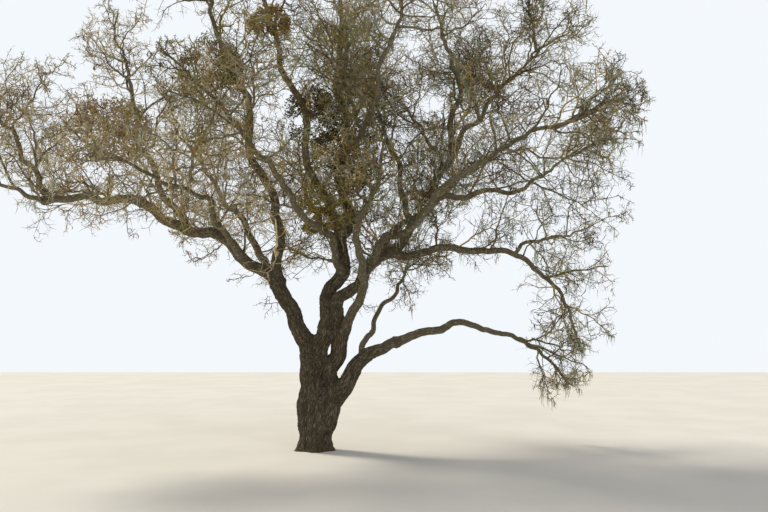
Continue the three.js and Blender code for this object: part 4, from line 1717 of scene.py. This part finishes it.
@dataclass
class Mistletoe:
    """Balls of mistletoe: stems that fork and fork again, with a pair of leaves at each fork.

    A ball of the usual radius has as many stems as `stems` says. Spreads, bows and the outline
    are shares of the ball's radius or of a stem's length, and girths shares of its thickness.
    """

    IDS_PER_BALL = 50
    CHILD_STEP = 7919

    stems: int = 23
    usual_radius: float = 0.6
    forks: int = 6
    first: float = 0.25
    shrink: float = 0.86
    length_chance: tuple = (0.75, 1.2)
    lean: tuple = (18, 44)
    outward: float = 0.12
    third_chance: float = 0.25
    turn_parts: float = 2.3
    thickness: float = 0.01
    thinning: float = 0.82
    root_girths: tuple = (1.8, 1.5, 0)
    stem_girths: tuple = (1, 0.9, 0.8)
    heart: float = 0.15
    heart_spread: float = 0.12
    root_bow: float = 0.06
    bow: float = 0.08
    outline: tuple = (0.85, 0.4)
    outline_waves: float = 2.2
    stout_forks: int = 2
    leafy_from: int = 3
    leaf_length: tuple = (0.036, 0.062)
    leaf_curl: tuple = (-0.05, 0.25)
    leaf_along: float = 0.5
    leaf_spread: float = 0.35
    leaf_tilt: float = 0.5
    own_green: float = 0.72

    def build(self, around: Surroundings, stem_material: Material, leaves: list[Material]) -> None:
        """Makes the balls, each as one piece.

        Args:
            around: Where the balls sit.
            stem_material: The stems' bark.
            leaves: The greens, which a ball's own row chooses among.
        """
        for number, ball in enumerate(BALLS):
            lot = Joined(ball.name + "_sprays", "mistletoe", [stem_material, *leaves])
            self.ball(lot, ball, number, around)
            lot.nodes.append(ball.name)
            lot.close()

    def ball(self, lot: Joined, ball: Ball, number: int, around: Surroundings) -> None:
        """Grows one ball from its seat on the bough.

        Args:
            lot: Where its stems and leaves go.
            ball: The ball.
            number: Its number.
            around: Where the balls sit.
        """
        seat, centre = gnarled(around.seats[number]), around.ball_centres[number]
        count = round(self.stems * ball.radius / self.usual_radius)
        ids = scramble(np.arange(count) + self.IDS_PER_BALL * (number + 1))
        heart = centre + (seat - centre) * self.heart
        start = heart + chances(ids, SprayDraw.HEART) * ball.radius * self.heart_spread
        along = unit(chances(ids, SprayDraw.WAY))
        root = np.repeat(seat[None], len(ids), axis=0)
        bow = (root + start) / 2 + chances(ids, SprayDraw.ROOT_BOW) * ball.radius * self.root_bow
        reach = ball.radius * self.first
        thick = self.thickness
        self.add_stems(lot, (root, bow, start), [thick * share for share in self.root_girths], 5)
        least, more = self.outline
        for fork in range(self.forks):
            length = reach * chance(ids, SprayDraw.LENGTH, *self.length_chance)
            end = start + along * length[:, None]
            away = end - centre
            waves = value_noise(unit(away) * self.outline_waves + number * 5, 9)
            inside = np.linalg.norm(away, axis=1) < ball.radius * (least + more * waves)
            ids, start, along, end = ids[inside], start[inside], along[inside], end[inside]
            if not len(ids):
                break
            bow = (start + end) / 2 + chances(ids, SprayDraw.BOW) * reach * self.bow
            girths = [thick * share for share in self.stem_girths]
            self.add_stems(lot, (start, bow, end), girths, 4 if fork < self.stout_forks else 3)
            if fork >= self.leafy_from:
                self.leaf_pairs(lot, ball, ids, end, along)
            ids, start, along = self.forked(ids, end, along, centre)
            reach *= self.shrink
            thick *= self.thinning

    def add_stems(self, lot: Joined, points: tuple, girths: list[float], sides: int) -> None:
        """Adds stems, each through three points, with a radius at each of those."""
        radii = np.repeat([girths], len(points[0]), axis=0)
        vertices, triangles, _ = tubes(np.stack(points, axis=1), radii, sides)
        lot.add(vertices, triangles)

    def forked(self, ids: Array, end: Array, along: Array, centre: Array) -> tuple:
        """Parts each stem in two, or sometimes three.

        Args:
            ids: The stems' numbers.
            end: Where they end.
            along: Which way they go.
            centre: The middle of the ball.

        Returns:
            The new stems' numbers, starts and ways.
        """
        u, v = square_to(along)
        turn = 2 * np.pi * chance(ids, SprayDraw.TURN)
        parts = []
        for k in range(3):
            chosen = k < 2 or chance(ids, SprayDraw.THIRD) < self.third_chance
            chosen = np.ones(len(ids), bool) & chosen
            child = scramble(ids + np.uint32((k + 1) * self.CHILD_STEP))
            angle = (turn + 2 * np.pi * k / self.turn_parts)[:, None]
            lean = np.radians(chance(child, SprayDraw.LEAN, *self.lean))[:, None]
            out = along * np.cos(lean) + (u * np.cos(angle) + v * np.sin(angle)) * np.sin(lean)
            out = unit(out + unit(end - centre) * self.outward)
            parts.append((child[chosen], end[chosen], out[chosen]))
        return tuple(np.concatenate(values) for values in zip(*parts))

    def leaf_pairs(self, lot: Joined, ball: Ball, ids: Array, end: Array, along: Array) -> None:
        """Puts two leaves opposite each other at the end of each stem.

        Args:
            lot: Where the leaves go.
            ball: The ball, for its green.
            ids: The stems' numbers.
            end: Where they end.
            along: Which way they go.
        """
        u, v = square_to(along)
        turn = (2 * np.pi * chance(ids, SprayDraw.LEAF_TURN))[:, None]
        side = u * np.cos(turn) + v * np.sin(turn)
        greens = len(lot.materials) - 1
        for k, sign in enumerate((1, -1)):
            off = chances(ids, SprayDraw.LEAF_WAY + 3 * k) * self.leaf_spread
            out = unit(along * self.leaf_along + side * sign + off)
            tilt = chances(ids, SprayDraw.LEAF_TILT) * self.leaf_tilt
            across = unit(np.cross(out, along + tilt))
            length = chance(ids, SprayDraw.LEAF_LENGTH + k, *self.leaf_length)
            curl = chance(ids, SprayDraw.LEAF_CURL + k, *self.leaf_curl)
            vertices, triangles, owner = MISTLETOE_LEAF.leaves(end, out, across, length, curl)
            own = chance(ids, SprayDraw.LEAF_GREEN + k) < self.own_green
            green = np.where(own, ball.leaf, (ball.leaf + 1) % greens) + 1
            lot.add(vertices, triangles, green[owner])


class HangingDraw(IntEnum):
    """What the draws of lichen and dead leaves are for."""

    START = 1
    STRAND_LENGTH = 4
    SWAY = 10
    CLUMP = 40
    CLUMP_LENGTH = 41
    THICKNESS = 42
    LEAF = 50
    LEAF_WAY = 51
    LEAF_LENGTH = 54
    LEAF_CURL = 55
    LEAF_BROWN = 56


@dataclass
class LaceLichen:
    """Lace lichen: pale strands that hang in clumps from the boughs, most of them on the right.

    `rightward` and `downward` say from where a clump grows likelier, over how much, and the
    least that its chance is multiplied by before that.
    """

    clumps: int = 420
    rightward: tuple = (0.4, 2.5, 0.06)
    downward: tuple = (6.2, 3, 0.03)
    strands: int = 4
    length: tuple = (0.1, 0.42)
    length_chance: tuple = (0.4, 1)
    thickness: float = 0.0048
    thickness_chance: tuple = (0.6, 1.3)
    taper: tuple = (1.15, 0.4)
    joints: int = 4
    spread: tuple = (0.03, 0.03, 0.006)
    sway: float = 0.3

    def build(self, fine: list[Twigs], material: Material) -> None:
        """Hangs the strands from the twigs.

        Args:
            fine: The twigs that they may hang from.
            material: The lichen.
        """
        feet = np.concatenate([twigs.line[:, 0] for twigs in fine if twigs.order <= FINE_ORDER])
        ids = np.concatenate([twigs.ids for twigs in fine if twigs.order <= FINE_ORDER])
        left, over, least = self.rightward
        wanted = np.clip((feet[:, 0] - left) / over, least, 1)
        top, over, least = self.downward
        wanted *= np.clip((top - feet[:, 2]) / over, least, 1)
        order = np.argsort(chance(ids, HangingDraw.CLUMP) / wanted)[: self.clumps]
        seats = np.repeat(feet[order], self.strands, axis=0)
        strand = np.tile(np.arange(self.strands), len(order))
        own = scramble(np.repeat(ids[order], self.strands) + strand)
        clump = np.repeat(chance(ids[order], HangingDraw.CLUMP_LENGTH, *self.length), self.strands)
        length = clump * chance(own, HangingDraw.STRAND_LENGTH, *self.length_chance)
        points = [seats + chances(own, HangingDraw.START) * self.spread]
        for joint in range(self.joints):
            way = unit(chances(own, HangingDraw.SWAY + 3 * joint) * self.sway + [0, 0, -1])
            points.append(points[-1] + way * (length / self.joints)[:, None])
        line = np.stack(points, axis=1)
        thick = self.thickness * chance(own, HangingDraw.THICKNESS, *self.thickness_chance)
        radii = np.linspace(*self.taper, self.joints + 1)[None] * thick[:, None]
        vertices, triangles, _ = tubes(line, radii, 3)
        lot = Joined("lace_lichen", "twigs", [material])
        lot.add(vertices, triangles)
        lot.close()


@dataclass
class DeadLeaves:
    """The last dead leaves, curled, at the ends of a few twigs."""

    count: int = 320
    right_share: float = 0.4
    high: float = 5.5
    high_share: float = 0.35
    spread: float = 0.8
    length: tuple = (0.05, 0.085)
    curl: tuple = (0.05, 0.6)

    def build(self, fine: list[Twigs], materials: list[Material]) -> None:
        """Hangs the leaves from the twigs' tips.

        Args:
            fine: The twigs that they may hang from.
            materials: The browns.
        """
        tips = np.concatenate([twigs.line[:, -1] for twigs in fine if twigs.order == FINE_ORDER])
        ids = np.concatenate([twigs.ids for twigs in fine if twigs.order == FINE_ORDER])
        wanted = np.where(tips[:, 0] < 0, 1, self.right_share)
        wanted = wanted * np.where(tips[:, 2] < self.high, 1, self.high_share)
        order = np.argsort(chance(ids, HangingDraw.LEAF) / wanted)[: self.count]
        tips, ids = tips[order], ids[order]
        along = unit(chances(ids, HangingDraw.LEAF_WAY) * self.spread + [0, 0, -self.spread])
        across, _ = square_to(along)
        length = chance(ids, HangingDraw.LEAF_LENGTH, *self.length)
        curl = chance(ids, HangingDraw.LEAF_CURL, *self.curl)
        vertices, triangles, owner = OAK_LEAF.leaves(tips, along, across, length, curl)
        lot = Joined("dead_leaves", "twigs", materials)
        brown = (chance(ids, HangingDraw.LEAF_BROWN) * len(materials)).astype(int)
        lot.add(vertices, triangles, brown[owner])
        lot.close()


class NodeTree:
    """A short way to place and link shader nodes."""

    def __init__(self, tree: bpy.types.NodeTree) -> None:
        """Keeps the tree."""
        self.tree = tree

    def add(self, kind: str, values: dict | None = None, **settings: object) -> bpy.types.Node:
        """Adds a node.

        Args:
            kind: Its type.
            values: Its inputs, by name or number: a socket to link, or a value to set.
            settings: Its own settings.

        Returns:
            The node.
        """
        node = self.tree.nodes.new(kind)
        for name, value in settings.items():
            setattr(node, name, value)
        for key, value in (values or {}).items():
            self.put(node.inputs[key], value)
        return node

    def put(self, socket: NodeSocket, value: object) -> None:
        """Links a socket's source to it, or sets its value."""
        if isinstance(value, NodeSocket):
            self.tree.links.new(value, socket)
        else:
            socket.default_value = value

    def group(self, tree: bpy.types.NodeTree, values: dict) -> bpy.types.Node:
        """Places a node group with its own values."""
        return self.add("ShaderNodeGroup", values, node_tree=tree)

    def attribute(self, name: str, output: str = "Fac") -> NodeSocket:
        """Reads an attribute of the mesh."""
        return self.add("ShaderNodeAttribute", attribute_name=name).outputs[output]

    def mix(self, share: object, one: object, other: object) -> NodeSocket:
        """Mixes two colours."""
        node = self.add("ShaderNodeMix", data_type="RGBA")
        for key, value in (("Factor_Float", share), ("A_Color", one), ("B_Color", other)):
            self.put(next(s for s in node.inputs if s.identifier == key), value)
        return next(s for s in node.outputs if s.identifier == "Result_Color")

    def math(self, operation: str, one: object, other: object) -> NodeSocket:
        """Works out a value from two others."""
        return self.add("ShaderNodeMath", {0: one, 1: other}, operation=operation).outputs[0]

    def times(self, one: object, other: object) -> NodeSocket:
        """Multiplies two values."""
        return self.math("MULTIPLY", one, other)

    def vector(self, operation: str, one: object, other: object) -> NodeSocket:
        """Works out a vector from two others."""
        node = self.add("ShaderNodeVectorMath", {0: one, 1: other}, operation=operation)
        return node.outputs[0]

    def ramp(self, value: object, low: float, high: float, to: tuple = (0.0, 1.0)) -> NodeSocket:
        """Maps a value from between low and high to between the two ends of `to`, smoothly."""
        values = dict(enumerate((value, low, high, *to)))
        return self.add("ShaderNodeMapRange", values, interpolation_type="SMOOTHSTEP").outputs[0]


def linear(colour: int, shade: float = 1) -> tuple[float, float, float, float]:
    """Gives a colour as the shaders take it.

    Args:
        colour: Red, green and blue as 0xRRGGBB, as they look on a screen.
        shade: A factor on its light.

    Returns:
        Linear red, green and blue, and 1.
    """
    parts = [(colour >> shift & 255) / 255 for shift in (16, 8, 0)]
    return (*(shade * (c / 12.92 if c <= 0.04045 else ((c + 0.055) / 1.055) ** 2.4) for c in parts), 1.0)


def new_group(
    name: str, inputs: dict, outputs: dict
) -> tuple[bpy.types.NodeTree, NodeTree, dict, bpy.types.Node]:
    """Starts a shader node group.

    Args:
        name: Its name.
        inputs: Its inputs' socket types and default values, by name.
        outputs: Its outputs' socket types, by name.

    Returns:
        The group, its nodes, its input sockets by name, and its output node.
    """
    group = bpy.data.node_groups.new(name, "ShaderNodeTree")
    for label, (kind, value) in inputs.items():
        socket = group.interface.new_socket(label, in_out="INPUT", socket_type=kind)
        if value is not None:
            socket.default_value = value
    for label, kind in outputs.items():
        group.interface.new_socket(label, in_out="OUTPUT", socket_type=kind)
    nodes = NodeTree(group)
    into = group.nodes.new("NodeGroupInput")
    return group, nodes, {label: into.outputs[label] for label in inputs}, group.nodes.new("NodeGroupOutput")


def mottle_group() -> bpy.types.NodeTree:
    """Makes the group for patches: a mask of soft noise between two levels."""
    number = "NodeSocketFloat"
    group, nodes, given, out = new_group(
        "Mottle",
        {
            "Vector": ("NodeSocketVector", None),
            "Scale": (number, 5.0),
            "Detail": (number, 4.0),
            "Low": (number, 0.45),
            "High": (number, 0.6),
        },
        {"Mask": number},
    )
    noise = nodes.add(
        "ShaderNodeTexNoise",
        {"Vector": given["Vector"], "Scale": given["Scale"], "Detail": given["Detail"], "Roughness": 0.6},
    )
    nodes.put(out.inputs["Mask"], nodes.ramp(noise.outputs["Fac"], given["Low"], given["High"]))
    return group


def fissure_group() -> bpy.types.NodeTree:
    """Makes the group for bark: long plates with cracks between them, that follow the limb."""
    number = "NodeSocketFloat"
    group, nodes, given, out = new_group(
        "Fissures",
        {"Grain": ("NodeSocketVector", None), "Plates per metre": (number, 44.0), "Length": (number, 7.0)},
        {"Height": number, "Crack": number},
    )
    warp = nodes.add("ShaderNodeTexNoise", {"Vector": given["Grain"], "Scale": 16.0, "Detail": 3.0})
    shift = nodes.vector("SUBTRACT", warp.outputs["Color"], (0.5, 0.5, 0.5))
    bent = nodes.vector("ADD", given["Grain"], nodes.vector("MULTIPLY", shift, (0.035, 0.035, 0.035)))
    squeeze = {"X": 1.0, "Y": 1.0, "Z": nodes.math("DIVIDE", 1.0, given["Length"])}
    long = nodes.vector("MULTIPLY", bent, nodes.add("ShaderNodeCombineXYZ", squeeze).outputs[0])
    cells = nodes.add(
        "ShaderNodeTexVoronoi",
        {"Vector": long, "Scale": given["Plates per metre"], "Randomness": 1.0},
        feature="DISTANCE_TO_EDGE",
    )
    plate = nodes.ramp(cells.outputs["Distance"], 0.0, 0.3)
    fine = nodes.add("ShaderNodeTexNoise", {"Vector": long, "Scale": 130.0, "Detail": 5.0})
    height = nodes.math("ADD", nodes.times(plate, 0.72), nodes.times(fine.outputs["Fac"], 0.28))
    nodes.put(out.inputs["Height"], height)
    nodes.put(out.inputs["Crack"], nodes.math("SUBTRACT", 1.0, plate))
    return group


@dataclass(frozen=True)
class BarkFinish:
    """Oak bark: grey-brown plates, dark cracks that are partly painted shade, painted shade in the crotches,
    and lichen that grows more on the thinner boughs.
    """

    plate: int = 0x554B3B
    pale_plate: int = 0x877B65
    # The dark colour of the cracks, partly their own and partly painted shade; it also paints the shade in
    # the crotches.
    crack: int = 0x2A2219
    bough: int = 0x7F7460
    lichen: int = 0xA0A184
    moss: int = 0x696837
    rust: int = 0x725639
    streak: tuple = (1.0, 1.0, 0.14)

    def material(self, fissures: bpy.types.NodeTree, mottle: bpy.types.NodeTree) -> Material:
        """Makes the material.

        Args:
            fissures: The group for plates and cracks.
            mottle: The group for patches.

        Returns:
            The material.
        """
        material, nodes, shader = new_material("oak_bark", 0.9)
        grain, girth = nodes.attribute("grain", "Vector"), nodes.attribute("girth")
        clear = nodes.ramp(nodes.attribute("clear"), 0.1, 0.7)
        cracks = nodes.group(fissures, {"Grain": grain})
        everywhere = nodes.add("ShaderNodeTexCoord").outputs["Object"]
        streaks = nodes.vector("MULTIPLY", grain, self.streak)

        def patch(where: NodeSocket, scale: float, low: float, high: float, detail: float = 4) -> NodeSocket:
            """Masks patches of a size, by the noise between two levels."""
            values = {"Vector": where, "Scale": scale, "Detail": detail, "Low": low, "High": high}
            return nodes.group(mottle, values).outputs["Mask"]

        def by_girth(low: float, high: float, thin: float, stout: float) -> NodeSocket:
            """Goes from one value on thin limbs to another on stout ones."""
            return nodes.ramp(girth, low, high, (thin, stout))

        thin = by_girth(0.045, 0.15, 0.85, 0.12)
        mossy = nodes.times(patch(everywhere, 2.3, 0.46, 0.62), thin)
        spots = nodes.times(patch(everywhere, 21.0, 0.56, 0.62, 6.0), by_girth(0.05, 0.2, 0.85, 0.22))
        # Darker plate colour in long streaks, more on stout limbs.
        dark_streaks = nodes.times(patch(streaks, 15.0, 0.5, 0.62, 2.0), by_girth(0.1, 0.2, 0.1, 0.6))
        # Partly painted shade: the cracks darken more on stouter limbs, where they are deeper.
        deep = nodes.times(cracks.outputs["Crack"], by_girth(0.04, 0.14, 0.3, 0.75))
        layers = (
            (patch(streaks, 38.0, 0.36, 0.68, 3.0), linear(self.pale_plate)),
            (nodes.times(patch(everywhere, 2.6, 0.42, 0.62), 0.5), linear(self.plate, 0.62)),
            (thin, linear(self.bough)),
            (nodes.times(patch(everywhere, 3.1, 0.5, 0.66), 0.3), linear(self.rust)),
            (nodes.times(mossy, 0.5), linear(self.moss)),
            (spots, linear(self.lichen)),
            (dark_streaks, linear(self.plate, 0.5)),
            # The cracks' dark colour: their own, with painted shade in them.
            (nodes.times(deep, clear), linear(self.crack)),
            # Painted shade in the crotches: the crack colour darkens the bark where two limbs' skins meet.
            (nodes.ramp(clear, 0.0, 1.0, (0.55, 0.0)), linear(self.crack)),
        )
        colour = linear(self.plate)
        for mask, paint in layers:
            colour = nodes.mix(mask, colour, paint)
        nodes.put(shader.inputs["Base Color"], colour)
        rough = nodes.ramp(cracks.outputs["Height"], 0.0, 1.0, (0.98, 0.82))
        nodes.put(shader.inputs["Roughness"], rough)
        height = nodes.times(cracks.outputs["Height"], clear)
        bump = nodes.add("ShaderNodeBump", {"Strength": 0.9, "Distance": 0.008, "Height": height})
        nodes.put(shader.inputs["Normal"], bump.outputs["Normal"])
        return material


@dataclass(frozen=True)
class PlainFinish:
    """Something small and dull, such as a twig or a leaf: one colour with a little unevenness."""

    name: str
    colour: int
    uneven: float = 0.3
    roughness: float = 0.85
    scale: float = 14.0

    def material(self, mottle: bpy.types.NodeTree) -> Material:
        """Makes the material.

        Args:
            mottle: The group for patches.

        Returns:
            The material.
        """
        material, nodes, shader = new_material(self.name, self.roughness)
        place = nodes.add("ShaderNodeTexCoord").outputs["Object"]
        values = {"Vector": place, "Scale": self.scale, "Detail": 2.0, "Low": 0.35, "High": 0.65}
        mask = nodes.group(mottle, values).outputs["Mask"]
        dark, pale = linear(self.colour, 1 - self.uneven), linear(self.colour, 1 + self.uneven)
        nodes.put(shader.inputs["Base Color"], nodes.mix(mask, dark, pale))
        return material


DULL = 0.25


def new_material(name: str, roughness: float) -> tuple[Material, NodeTree, bpy.types.Node]:
    """Starts a material with a plain, dull shader.

    Args:
        name: Its name.
        roughness: Its roughness.

    Returns:
        The material, its nodes and its shader.
    """
    material = bpy.data.materials.new(name)
    material.use_nodes = True
    shader = material.node_tree.nodes["Principled BSDF"]
    shader.inputs["Roughness"].default_value = roughness
    shader.inputs["Specular IOR Level"].default_value = DULL
    return material, NodeTree(material.node_tree), shader


TWIG_FINISHES = [
    PlainFinish("twig_grey", 0xA89C7A),
    PlainFinish("twig_plum", 0x8E7C60),
    PlainFinish("twig_tan", 0xB59C68),
    PlainFinish("twig_olive", 0x958A48),
    PlainFinish("twig_dark", 0x5C4C33),
    PlainFinish("twig_sage", 0x94977A),
    # Painted light: the pale twigs stand in for the sunlit haze on the left and the top of the crown.
    PlainFinish("twig_painted_light", 0xCDC09A),
    PlainFinish("twig_bough", 0x7B725A, uneven=0.4),
]
MISTLETOE_FINISHES = [
    PlainFinish("mistletoe_tan", 0xAE8F5A, roughness=0.65),
    PlainFinish("mistletoe_olive", 0x93804A, roughness=0.65),
    # Partly painted shade: the mistletoe's own green, darkened for a ball that hangs in shade.
    PlainFinish("mistletoe_dark", 0x2F3A22, roughness=0.6),
    PlainFinish("mistletoe_yellow", 0x9A8F3C, roughness=0.65),
]
MISTLETOE_STEM = PlainFinish("mistletoe_stem", 0x8E764A)
LICHEN_FINISH = PlainFinish("lace_lichen", 0xB4B99C)
DEAD_LEAF_FINISHES = [PlainFinish("dead_leaf_red", 0x8E5A3A), PlainFinish("dead_leaf_brown", 0x7F6242)]


FLOOR = PlainFinish("pale_floor", 0xD9D5CC, uneven=0.03, roughness=0.9, scale=0.5)


@dataclass(frozen=True)
class Lamp:
    """A far, soft lamp: where its light comes from, and how wide it looks, in degrees."""

    name: str
    place: tuple
    spread: float
    strength: float
    colour: tuple

    def hang(self) -> None:
        """Hangs the lamp."""
        data = bpy.data.lights.new(self.name, "SUN")
        data.angle, data.energy, data.color = math.radians(self.spread), self.strength, self.colour
        lamp = in_scene(self.name, data)
        lamp.location = self.place
        lamp.rotation_euler = (-Vector(self.place)).to_track_quat("-Z", "Y").to_euler()


LAMPS = (
    Lamp("key", (-7.5, 5.5, 9), 14, 3.0, (1.0, 0.94, 0.82)),
    Lamp("fill", (6, -9, 6), 60, 0.35, (0.94, 0.97, 1.0)),
)


@dataclass(frozen=True)
class Studio:
    """The floor, the light and the camera of the photograph."""

    eye: tuple = (1.2, -13.3, 1.93)
    climb: float = 6.3
    lens: float = 35.0
    sensor: float = 36.0
    sight: float = 200
    floor_size: float = 60.0
    sky: tuple = (0.92, 0.95, 1.0, 1)
    seen_sky: tuple = (0.9, 0.94, 0.985, 1)
    sky_light: float = 0.55
    seen_sky_more: float = 0.45

    def floor(self, mottle: bpy.types.NodeTree) -> None:
        """Lays the pale floor.

        Args:
            mottle: The group for patches.
        """
        made = bmesh.new()
        bmesh.ops.create_grid(made, x_segments=1, y_segments=1, size=self.floor_size / 2)
        mesh = bpy.data.meshes.new("floor")
        made.to_mesh(mesh)
        made.free()
        mesh.materials.append(FLOOR.material(mottle))
        floor = in_scene("floor", mesh)

    def light(self) -> None:
        """Sets the soft light: a pale sky, and a wide lamp from the upper left, behind the tree."""
        world = bpy.data.worlds.new("studio")
        world.use_nodes = True
        nodes = NodeTree(world.node_tree)
        background = world.node_tree.nodes["Background"]
        seen = nodes.add("ShaderNodeLightPath").outputs["Is Camera Ray"]
        nodes.put(background.inputs["Color"], nodes.mix(seen, self.sky, self.seen_sky))
        strength = nodes.math("ADD", self.sky_light, nodes.times(seen, self.seen_sky_more))
        nodes.put(background.inputs["Strength"], strength)
        bpy.context.scene.world = world
        for lamp in LAMPS:
            lamp.hang()

    def camera(self) -> None:
        """Sets the camera at the photograph's viewing angle."""
        data = bpy.data.cameras.new("camera")
        data.lens, data.sensor_width, data.sensor_fit = self.lens, self.sensor, "HORIZONTAL"
        data.clip_end = self.sight
        camera = in_scene("camera", data)
        camera.location = self.eye
        camera.rotation_euler = (math.radians(90 + self.climb), 0, 0)
        bpy.context.scene.camera = camera


def main() -> None:
    """Builds the tree: bark, twigs, mistletoe, lichen, dead leaves and the studio."""
    logging.basicConfig(level=logging.INFO, format="%(relativeCreated)6d ms  %(message)s")
    mottle, fissures = mottle_group(), fissure_group()
    boughs = grow_boughs()
    around = Surroundings(boughs)
    crown = Crown(boughs, around, finest=4)
    skin = BarkSkin()
    skin.gather(boughs, crown)
    skin.build(BarkFinish().material(fissures, mottle))
    drawer = CrownDrawer(crown, skin, [finish.material(mottle) for finish in TWIG_FINISHES])
    for region, (spacing, tints) in SHOOT_ROWS.items():
        drawer.draw(region, spacing, tints)
    greens = [finish.material(mottle) for finish in MISTLETOE_FINISHES]
    Mistletoe().build(around, MISTLETOE_STEM.material(mottle), greens)
    LaceLichen().build(drawer.fine, LICHEN_FINISH.material(mottle))
    DeadLeaves().build(drawer.fine, [finish.material(mottle) for finish in DEAD_LEAF_FINISHES])
    studio = Studio()
    studio.floor(mottle)
    studio.light()
    studio.camera()
    bpy.context.scene.view_settings.view_transform = "Standard"


if __name__ == "__main__":
    main()
